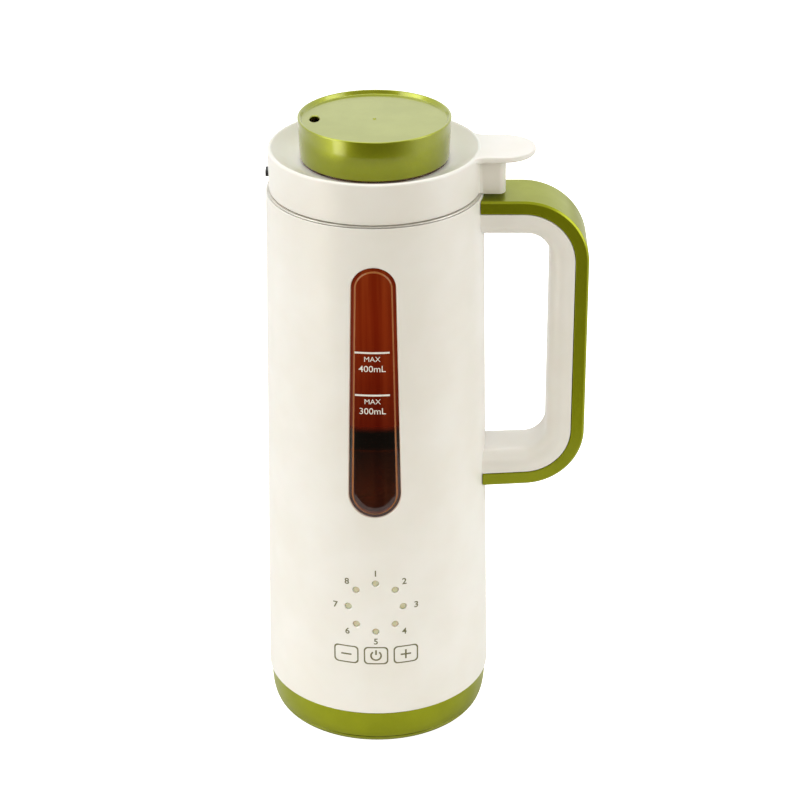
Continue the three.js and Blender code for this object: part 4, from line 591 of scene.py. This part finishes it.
# Ivory ABS from a polished mould with a very light satin grain: warm white, soft broad highlights
abs_plastic = {"IOR": 1.53, "Subsurface Weight": 0.05, "Subsurface Scale": 0.001}
ivory_abs = surface("ivory_abs", ("#edebe5", "#e9e6de"), 25, (0.3, 0.36), 0.6, 0.0015, abs_plastic)
body_sleeve = cut_out(moulding("body_sleeve", sleeve), moulding("sleeve_knives", knives))
grip_channel, inlet_pad = moulding("grip_channel", [grip]), moulding("inlet_pad", [pad])
housing = joined("body_moulding", 35, body_sleeve, grip_channel, inlet_pad)
piece(housing, ivory_abs, "jug", "housing_plastic", "outer_housing")


# Window: a polished amber copolyester lens welded into the slot from inside, flush with the body. A
# narrow step runs round its edge half a millimetre lower, and a painted highlight runs along its bevel.
# Rows over the lens and round behind it: mm inside the slot's edge, mm under the cone, and the share of
# the way in to the slot's middle line
lens_in = [2.35] * 4 + [2.05, 1.95, 1.65, 1.5, 0.6, 0.36, 0.3, 0.3, -2.3, -2.4, -2.4, 2.35, 2.35, 2.35]
lens_depth = [0.1] * 4 + [0.12, 0.2, 0.55, 0.62, 0.62, 0.68, 0.8, 2.5, 2.5, 2.6, 3.1, 3.1, 3.1, 3.1]
lens_share = [1.0, 0.7, 0.35] + [0.0] * 13 + [0.5, 1.0]
lens_in, lens_depth, lens_share = (np.array(row)[:, None] for row in (lens_in, lens_depth, lens_share))
lens_reach = (slot_half - lens_in) * (1 - lens_share)
lens_level = slot_middle + lens_reach * np.sin(slot_turn)
lens_x = lens_reach * np.cos(slot_turn)
lens_y = -np.sqrt((body_radius(lens_level) - lens_depth) ** 2 - lens_x**2)
lens = np.stack([lens_x, lens_y, lens_level], -1)
window = moulding("level_window", [lens])
spots = np.empty(len(window.vertices) * 3)
window.vertices.foreach_get("co", spots)
spots = spots.reshape(-1, 3) * 1000
up = np.clip(spots[:, 2], slot_foot, slot_top)
half_there = np.interp(up, [slot_foot, slot_top], [slot_foot_half, slot_top_half])
inside_edge = half_there - np.hypot(spots[:, 0], spots[:, 2] - up)
window.attributes.new("inside_edge", "FLOAT", "POINT").data.foreach_set("value", inside_edge)

# Amber copolyester of the lens, with the view into the jug painted on it by level: the lit amber back wall as
# painted light, orange-brown and brighter upwards with soft upright streaks, and in front of the steel bowl
# painted shade with a painted bright line of the bowl's rim, where the lens is also clearer; a painted
# highlight runs along its bevel
amber_window = see_through("amber_window", ("#e0a468", "#d8995c"), 0.03, 0.95, 0.05)
glass = amber_window.node_tree
place = add(glass, "ShaderNodeTexCoord").outputs["Object"]
upright = add(glass, "ShaderNodeMapping", {"Vector": place, "Scale": (1.0, 1.0, 0.03)}).outputs["Vector"]
upright_noise = add(glass, "ShaderNodeTexNoise", {"Vector": upright, "Scale": 260.0, "Detail": 3.0}).outputs["Fac"]
streaks = ranged(glass, upright_noise, (0.38, 0.62), (0.0, 0.75))
level = add(glass, "ShaderNodeSeparateXYZ", {"Vector": place}).outputs["Z"]
share_up = ranged(glass, level, (0.11, 0.225), (0.0, 1.0))
# Painted light and shade by level: the dark steel bowl with a painted bright line of its rim below, and the
# lit amber back wall of the jug above, brighter upwards
ramp = add(glass, "ShaderNodeValToRGB", {"Fac": share_up})
painted_view_tones = ramp.color_ramp.elements
painted_view_tones[0].color = linear("#6e3c24")
painted_view_tones[1].color = linear("#9a3e17")
painted_bowl_tones = {0.12: "#a05a30", 0.287: "#5c3320", 0.2915: "#b4501e", 0.296: "#2a1a13", 0.362: "#241610"}
painted_jug_light_tones = {0.38: "#70210c", 0.6: "#8c2f0f", 0.8: "#983813"}
for at, tone in (painted_bowl_tones | painted_jug_light_tones).items():
    painted_view_tones.new(at).color = linear(tone)
streaked = blended(glass, streaks, ramp.outputs["Color"], linear("#c97a45"), blend_type="MULTIPLY")
from_edge = add(glass, "ShaderNodeAttribute", attribute_name="inside_edge").outputs["Fac"]
# Painted highlight: a lighter colour on a band 1.5 to 2.1 mm inside the slot's edge, along the bevel
bevel_highlight_share = worked(glass, "COMPARE", from_edge, 1.8, 0.3)
bevel_highlighted = blended(glass, bevel_highlight_share, streaked, linear("#b4703a"))
clear_below = ranged(glass, level, (0.151, 0.155), (0.94, 0.3))
clear_there = ranged(glass, bevel_highlight_share, (0.0, 1.0), (clear_below, 0.3))
feed(glass, "Base Color", bevel_highlighted)
feed(glass, "Transmission Weight", clear_there)
piece(window, amber_window, "jug", "amber_plastic", "window_lens")


# Printing: pad-printed ink about 0.02 mm thick. White level marks stand on the window, and the panel
# has numbers beside its eight lights and an outlined sign for each touch key.
def lettering(words, height, x, z, bold=0.0):
    """Flat outlines of words with capitals of the given height, centred at (x, z), as points and triangles.
    Bold thickens each stroke on both sides by that share of the height."""
    curve = bpy.data.curves.new(words, "FONT")
    curve.body, curve.align_x, curve.align_y = words, "CENTER", "CENTER"
    curve.size, curve.resolution_u, curve.offset = height / 0.73, 4, bold * height
    shape = placed(words, curve)
    flat = bpy.data.meshes.new_from_object(shape.evaluated_get(bpy.context.evaluated_depsgraph_get()))
    flat.calc_loop_triangles()
    points = np.empty(len(flat.vertices) * 3, np.float32)
    corners = np.empty(len(flat.loop_triangles) * 3, np.int32)
    flat.vertices.foreach_get("co", points)
    flat.loop_triangles.foreach_get("vertices", corners)
    bpy.data.objects.remove(shape)
    bpy.data.curves.remove(curve)
    bpy.data.meshes.remove(flat)
    return points.reshape(-1, 3)[:, :2] + (x, z), corners.reshape(-1, 3)


def band(outer, inner):
    """The strip between two lines of equally many points, as points and triangles."""
    n = len(outer)
    a = np.arange(n - 1)
    quads = np.stack([a, a + 1, a + 1 + n, a, a + 1 + n, a + n], -1).reshape(-1, 3)
    return np.concatenate([outer, inner]), quads


def printed(name, marks, lift, material, slot):
    """Flat marks laid on the cone, lift mm over it: x and z stay, and y follows from the radius there."""
    points, faces, count = [], [], 0
    for flat, triangles in marks:
        radius = body_radius(flat[:, 1]) + lift
        points.append(np.stack([flat[:, 0], -np.sqrt(radius**2 - flat[:, 0] ** 2), flat[:, 1]], -1))
        faces.append(triangles + count)
        count += len(flat)
    mesh = bpy.data.meshes.new(name)
    mesh.from_pydata((np.concatenate(points) / 1000).tolist(), [], np.concatenate(faces).tolist())
    work = bmesh.new()
    work.from_mesh(mesh)
    bmesh.ops.recalc_face_normals(work, faces=work.faces)
    inwards = [f for f in work.faces if f.normal.y > 0]
    bmesh.ops.reverse_faces(work, faces=inwards)
    work.to_mesh(mesh)
    work.free()
    piece(mesh, material, "jug", slot)


def resampled(line, step=0.4):
    """The same line through points no more than step apart, so that it can follow the cone."""
    run = np.append(0, np.cumsum(np.linalg.norm(np.diff(line, axis=0), axis=1)))
    at = np.linspace(0, run[-1], int(run[-1] / step) + 2)
    return np.stack([np.interp(at, run, line[:, i]) for i in (0, 1)], -1)


def bar(x, z, half_width, half_height):
    """A flat bar about (x, z), in short lengths so that it can follow the cone."""
    across = np.linspace(x - half_width, x + half_width, 9)
    return band(*(np.stack([across, np.full(9, z + up)], -1) for up in (half_height, -half_height)))


# White pad-printing ink: chalky, dull, slightly thin in places
white_ink = surface("white_ink", ("#efece4", "#dcd8cf"), 1.5, (0.55, 0.7), 0.3, 0.004, {"IOR": 1.5})
# Olive-grey ink on the panel: thin and even, a little paler where the squeegee lifted
olive_ink = surface("olive_ink", ("#6b6848", "#777453"), 1.5, (0.5, 0.65), 0.3, 0.004, {"IOR": 1.5})

level_marks = []
words_x, mark_length, mark_height = -0.7, 14.1, 0.8
for mark_level, words in ((187.4, "400mL"), (168.6, "300mL")):
    level_marks.append(bar(words_x, mark_level, mark_length / 2, mark_height / 2))
    level_marks.append(lettering("MAX", 2.3, words_x, mark_level - 2.9))
    level_marks.append(lettering(words, 2.9, words_x, mark_level - 7.2, 0.004))
printed("level_marks", level_marks, -0.07, white_ink, "housing_plastic")

key_level, key_spacing, key_width, key_height, key_corner = 46.8, 12.6, 9.8, 7.9, 1.6
line_half, sign_half, outline_half, power_outer, power_inner, power_gap = 0.36, 2.2, 0.28, 2.5, 1.8, 0.65
stroke_middle, stroke_half = (sign_half + line_half) / 2, (sign_half - line_half) / 2
panel_marks = []
for i, key_x in enumerate((-key_spacing, 0.0, key_spacing)):
    middle = resampled(rounded_rectangle(key_width, key_height, key_corner))
    grown = middle * 2 * outline_half / (key_width, key_height)
    panel_marks.append(band(*(middle + side * grown + (key_x, key_level) for side in (1, -1))))
    if i != 1:
        panel_marks.append(bar(key_x, key_level, sign_half, line_half))
    if i == 2:
        for up in (stroke_middle, -stroke_middle):
            panel_marks.append(bar(key_x, key_level + up, line_half, stroke_half))
power_turn = np.linspace(np.pi / 2 + power_gap, np.pi * 2.5 - power_gap, 30)
power_ring = np.stack([np.cos(power_turn), np.sin(power_turn)], -1)
panel_marks.append(band(*(power_ring * radius + (0, key_level) for radius in (power_outer, power_inner))))
panel_marks.append(bar(0.0, key_level + 1.55, line_half, 1.15))
for i, (turn, x, z) in enumerate(zip(light_turns, light_x, light_z)):
    reach = 5.4 if i % 4 else 4.8
    place = x + reach * np.cos(turn), z + reach * np.sin(turn)
    panel_marks.append(lettering(str((8 - i) % 8 + 1), 2.9, *place, 0.025))
printed("panel_marks", panel_marks, 0.03, olive_ink, "housing_plastic")


# Grip cover: a curved ABS trough with chamfered edges, lacquered like the base, that snaps over the
# open channel of the grip and hides the lid sensor in its upper arm.
outer_rail = grip_rail(239.3, 87.2, 109.8, 0.057, 27, 25.5)
cover_wall, chamfer = 1.8, 0.8


def trough_section(depth):
    """The cover across: a shallow trough with a flat back, open towards the channel, chamfered outside."""
    d = depth
    z = np.zeros_like(d)
    h, k = np.full_like(d, grip_half), np.full_like(d, grip_half - cover_wall)
    corners = [(h, z), (h, d - chamfer), (h - chamfer, d), (chamfer - h, d), (-h, d - chamfer), (-h, z)]
    corners += [(-k, z), (-k, d - cover_wall), (k, d - cover_wall), (k, z)]
    corners = np.moveaxis(np.array(corners), -1, 0)
    return rounded(corners, [0.3] * 10, 4, closed=True)


cover = grip_grid(seam_rail, outer_rail, trough_section, 0.3, [0, 0.25, 1, 4, 9])
piece(moulding("grip_cover", [cover], 50), pearl_olive, "jug", "green_plastic", "handle_cover")
dress(solder_mask, "lid_sensor")


# Lid: a hollow ivory ABS disc with a dished top, a finger tab over the grip and a block under the tab
# that holds a magnet. A silicone seal on its clear liner closes the jug, and a black outlet in its left
# side leads out.
lid_foot, lid_top, lid_seat = 241.42, 258.7, 253.7
lid_foot_radius, lid_top_radius, rim_inner, seat_radius, feed_radius = 43.0, 43.35, 41.95, 31.6, 26.8
fall = np.linspace(0, 1, 22)[1:-1]
dish_radius = rim_inner + (seat_radius - rim_inner) * fall
dish = np.stack([dish_radius, lid_top - (lid_top - lid_seat) * np.sin(fall * np.pi / 2)], -1)
lid_skirt, feed_foot = 40.8, 251.5
lid_side = [(lid_skirt, lid_foot), (lid_foot_radius, lid_foot), (lid_top_radius, lid_top)]
lid_outside = rounded(lid_side + [(rim_inner, lid_top)], [0.2, 0.5, 1.0, 0])
lid_hollow = [(seat_radius, lid_seat), (feed_radius, lid_seat), (feed_radius, feed_foot)]
lid_hollow += [(33.8, feed_foot), (lid_skirt, 254.0), (lid_skirt, lid_foot)]
lid_inside = rounded(lid_hollow, [0, 0.5, 0.3, 1, 1, 0.2])
lid_profile = np.concatenate([lid_outside, dish, lid_inside, lid_outside[:1]])
pour_loop, pour_level = rounded_rectangle(6.6, 3.6, 1.75), 247.4
pour_knife = stacked([pour_loop] * 2, [22, 60])[..., [2, 0, 1]] * (-1, 1, 1) + (0, 0, pour_level)
lid_disc = cut_out(moulding("lid_disc", [turned(lid_profile, 160)]), moulding("pour_knife", [pour_knife]))


def plate(loop, insets, levels):
    """A flat body stacked from one closed loop: each row lies inset mm inside it, along its own normals."""
    step = np.roll(loop[:-1], -1, 0) - np.roll(loop[:-1], 1, 0)
    normal = np.stack([step[:, 1], -step[:, 0]], -1)
    normal /= np.maximum(np.linalg.norm(normal, axis=1, keepdims=True), 1e-9)
    normal = np.concatenate([normal, normal[:1]])
    return stacked([loop - normal * inset for inset in insets], levels)


def arc(cx, cy, radius, start, end, steps=14, squeeze=1.0):
    """Points on an arc about (cx, cy); its half length along x is the radius times squeeze."""
    turn = np.linspace(start, end, steps + 1)
    return np.stack([cx + radius * squeeze * np.cos(turn), cy + radius * np.sin(turn)], -1)


tab_half, tab_fillet, tab_reach, tab_tip = 13.4, 6.0, 65.0, 13.6
tab_top, tab_under = 258.55, 255.9
fillet_y = tab_half + tab_fillet
fillet_x = np.sqrt((lid_foot_radius + tab_fillet) ** 2 - fillet_y**2)
fillet_turn = np.arctan2(fillet_y, fillet_x)
tab_arcs = [
    arc(fillet_x, -fillet_y, tab_fillet, np.pi - fillet_turn, np.pi / 2),
    arc(tab_reach - tab_tip, 0, tab_half, -np.pi / 2, np.pi / 2, 40, tab_tip / tab_half),
    arc(fillet_x, fillet_y, tab_fillet, -np.pi / 2, fillet_turn - np.pi),
]
tab_edge = np.concatenate(tab_arcs)
tab_root = arc(0, 0, rim_inner - 0.3, -fillet_turn, fillet_turn, len(tab_edge) - 1)
tab_step = np.gradient(tab_edge, axis=0)
tab_normal = np.stack([tab_step[:, 1], -tab_step[:, 0]], -1) / np.linalg.norm(tab_step, axis=1, keepdims=True)
# The tab's section runs from its root inside the rim out along the top, round the edge and back below
top_round, under_round = 0.5, 1.2
quarter = np.linspace(0, np.pi / 2, 6)
short, long = 1 - np.cos(quarter), 1 - np.sin(quarter)
tab_insets = np.concatenate([[0.7], top_round * long, under_round * short, [1.5]])
tab_levels = np.concatenate(
    [[tab_top], tab_top - top_round * short, tab_under + under_round * long, [tab_under]]
)
tab_rows = [tab_root] + [tab_edge - tab_normal * inset for inset in tab_insets] + [tab_root, tab_root]
tab = stacked(tab_rows, [tab_top, *tab_levels, tab_under, tab_top])
# The block: two hollow corners where it meets the lid's side, two round ones outside. Over the jug's
# ledge it stops at the lid's foot, and beyond the ledge it reaches lower.
block_corners = [arc(44.0, -12.4, 4, np.pi, np.pi / 2), arc(49.9, -5.4, 3, -np.pi / 2, 0)]
block_corners += [arc(49.9, 5.4, 3, 0, np.pi / 2), arc(44.0, 12.4, 4, -np.pi / 2, -np.pi)]
block_loop = np.concatenate(block_corners + [block_corners[0][:1]])
block_top, block_foot, ledge_clear = 257.1, 240.9, 44.7
block = plate(block_loop, [0, 0, 0.15, 0.5], [block_top, 241.4, 241.05, block_foot])
over_ledge = np.hypot(block[..., 0], block[..., 1]) < ledge_clear
block[..., 2] = np.where(over_ledge, np.maximum(block[..., 2], lid_foot), block[..., 2])
finger_tab, magnet_block = moulding("finger_tab", [tab]), moulding("magnet_block", [block])
lid = joined("lid_moulding", 40, lid_disc, finger_tab, magnet_block)
piece(lid, ivory_abs, "lid", "housing_plastic", "lid_shell")
# Clear copolyester of the liner: colourless, a little milky
clear_copolyester = see_through("clear_copolyester", ("#e4e3dc", "#dcdbd2"), 0.12, 0.7, 0.5)
dress(clear_copolyester, "lid_liner")
dress(moulded_silicone, "lid_seal")
dress(black_polypropylene, "pour_lip")
dress(zinc_plated_steel, "lid_magnet")


# Stopper cap: a green lacquered ABS shell, dished inside a narrow rim, with a vent hole near its edge,
# over an amber plug whose flange shows as a thin line and whose gasket holds it in the lid.
cap_foot, cap_face, cap_top = 254.9, 270.0, 271.5
cap_foot_radius, cap_top_radius = 30.2, 31.0
cap_under = cap_face - 2
cap_shape = [(0, cap_face), (29.1, cap_face), (30.0, cap_top), (cap_top_radius, cap_top)]
cap_shape += [(cap_foot_radius, cap_foot), (28.2, cap_foot), (29.0, cap_under), (0, cap_under)]
cap_profile = rounded(cap_shape, [0, 0.4, 0.35, 0.5, 0.4, 0.3, 1.0, 0], 6)
# The vent is an oval hole through a thinned spot of the cap's top
vent_cut = rounded(
    [(0, -8), (3.2, -8), (3.2, -0.7), (2.0, -0.65), (2.0, -0.3), (2.25, 0), (2.6, 4), (0, 4)],
    [0, 0, 0.2, 0.05, 0.1, 0.2, 0, 0],
)
vent_knife = turned(vent_cut, 48) * (1, 1.85, 1) + (-24.1, -0.1, cap_face)
pip_profile = rounded([(0, 0.4), (0.5, 0.35), (1.0, -0.1), (1.0, -0.8), (0, -0.8)], [0, 0.4, 0.2, 0, 0], 4)
pip = turned(pip_profile, 32) + (0, 0, cap_face)
cap_disc = cut_out(moulding("cap_disc", [turned(cap_profile, 160)]), moulding("vent_knife", [vent_knife]))
cap = joined("cap_moulding", 40, cap_disc, moulding("cap_pip", [pip]))
# The cap's lacquer is the base's under a full, polished clear coat, so its top looks paler
polished_olive = pearl_olive.copy()
polished_olive.name = "polished_pearl_lacquer"
polished_olive.node_tree.nodes["body"].inputs["Coat Weight"].default_value = 1.0
piece(cap, polished_olive, "cap", "green_plastic", "cap_shell")
plug = [(0, 241), (26, 241), (26, 245), (25.2, 245), (25.2, 248.6), (26, 248.6), (26, 254)]
plug += [(29.8, 254), (29.8, 254.6), (23.4, 254.6), (23.4, 242.8), (0, 242.8)]
plug = rounded(plug, [0, 0.5, 0.1, 0.1, 0.1, 0.1, 0.3, 0.15, 0.15, 0.3, 1, 0], 4)
piece(moulding("cap_stopper", [turned(plug, 96)]), amber_copolyester, "cap", "amber_plastic", "cap_plug")
dress(moulded_silicone, "cap_gasket")


# Floor, light and camera. The floor is a wide pale sheet that stays white to the camera and keeps the
# shadow. It ends in front of the jug, so that polished pieces don't mirror it there. Two large soft boxes
# stand left and right, a small one in front, and one hangs over the back.
floor_front, floor_reach = -0.27, 4
floor_corners = [(-floor_reach, floor_front, 0), (floor_reach, floor_front, 0)]
floor_corners += [(floor_reach, floor_reach, 0), (-floor_reach, floor_reach, 0)]
floor_mesh = bpy.data.meshes.new("pale_floor")
floor_mesh.from_pydata(floor_corners, [], [(0, 1, 2, 3)])
floor = placed("pale_floor", floor_mesh)
paper = surface("pale_paper", ("#f2f1ee", "#efeeea"), 60, (0.85, 0.95), 1.2, 0.01, {"IOR": 1.4})
floor_mesh.materials.append(paper)
sheet = paper.node_tree
seen = add(sheet, "ShaderNodeLightPath").outputs["Is Camera Ray"]
glow = add(sheet, "ShaderNodeEmission", {"Color": linear("#ffffff"), "Strength": seen}).outputs["Emission"]
lifted = add(sheet, "ShaderNodeAddShader", {0: sheet.nodes["body"].outputs["BSDF"], 1: glow})
sheet.links.new(lifted.outputs["Shader"], sheet.nodes["out"].inputs["Surface"])

# The room is white where it is seen, in itself or through clear plastic, and it lights matt surfaces from
# above. Polished surfaces mirror a dark, warm front, white sides and back, and a bright card low on the
# left, which gives the cap its highlight.
world = bpy.data.worlds.new("soft_room")
bpy.context.scene.world = world
world.use_nodes = True
room = world.node_tree
room.nodes.clear()
path = add(room, "ShaderNodeLightPath").outputs
towards = add(room, "ShaderNodeTexCoord").outputs["Generated"]
compass = add(room, "ShaderNodeSeparateXYZ", {"Vector": towards}).outputs
backdrop = worked(room, "MAXIMUM", path["Is Camera Ray"], path["Is Transmission Ray"])
shown = worked(room, "MAXIMUM", backdrop, path["Is Glossy Ray"])
ceiling = ranged(room, compass["Z"], (0.0, 1.0), (0.4, 0.7))
strength = ranged(room, shown, (0.0, 1.0), (ceiling, 1.0))
front_wall = ranged(room, compass["Y"], (-0.95, -0.05), (0.08, 1.22), interpolation_type="SMOOTHSTEP")
walls = ranged(room, path["Is Glossy Ray"], (0.0, 1.0), (1.0, front_wall))
wall_light = worked(room, "MULTIPLY", strength, walls)
to_card = {0: towards, 1: (-0.83, -0.35, -0.43)}
facing_card = add(room, "ShaderNodeVectorMath", to_card, operation="DOT_PRODUCT").outputs["Value"]
card = ranged(room, facing_card, (0.9, 0.99), (0.0, 4.0), interpolation_type="SMOOTHSTEP")
card_light = worked(room, "MULTIPLY", card, path["Is Glossy Ray"])
light = worked(room, "ADD", wall_light, card_light)
tone_share = worked(room, "MAXIMUM", front_wall, path["Is Camera Ray"])
wall_tone = blended(room, tone_share, linear("#f6e9ca"), linear("#ffffff"))
sky = add(room, "ShaderNodeBackground", {"Color": wall_tone, "Strength": light}).outputs["Background"]
add(room, "ShaderNodeOutputWorld", {"Surface": sky})


def soft_box(name, place, target, width, height, power):
    """A rectangular soft box at a place, looking at a target, both in metres."""
    lamp = bpy.data.lights.new(name, "AREA")
    lamp.shape, lamp.size, lamp.size_y, lamp.energy = "RECTANGLE", width, height, power
    box = placed(name, lamp)
    back = np.asarray(place, float) - target
    back /= np.linalg.norm(back)
    right = np.cross((0, 0, 1), back)
    right /= np.linalg.norm(right)
    turn = np.eye(4)
    turn[:3, :4] = np.stack([right, np.cross(back, right), back, place], -1)
    box.matrix_world = Matrix(turn.tolist())


soft_box("left_box", (-1.5, -0.7, 0.9), (0, 0, 0.2), 1.1, 1.5, 16.5)
soft_box("right_box", (1.5, -0.5, 0.7), (0, 0, 0.13), 0.9, 1.4, 10.5)
soft_box("front_box", (0.25, -1.6, 1.0), (0, 0, 0.15), 0.6, 0.6, 3)
soft_box("top_box", (-0.1, 0.5, 1.6), (0, 0, 0.2), 1.4, 1.0, 8)

camera_data = bpy.data.cameras.new("camera")
camera_data.lens, camera_data.sensor_width = 116.99, 36.0
camera_data.clip_start, camera_data.clip_end = 0.05, 20.0
camera = placed("camera", camera_data)
pitch, heading, tilt = 0.462513, -0.011747, -0.0029826
forward = np.array([np.sin(heading) * np.cos(pitch), np.cos(heading) * np.cos(pitch), -np.sin(pitch)])
level_right = np.array([np.cos(heading), -np.sin(heading), 0])
level_up = np.cross(level_right, forward)
view = np.eye(4)
view[:3, 0] = np.cos(tilt) * level_right + np.sin(tilt) * level_up
view[:3, 1] = np.cos(tilt) * level_up - np.sin(tilt) * level_right
view[:3, 2] = -forward
view[:3, 3] = (0.02145, -0.9832, 0.63425)
camera.matrix_world = Matrix(view.tolist())
bpy.context.scene.camera = camera
bpy.context.scene.view_settings.view_transform = "Standard"
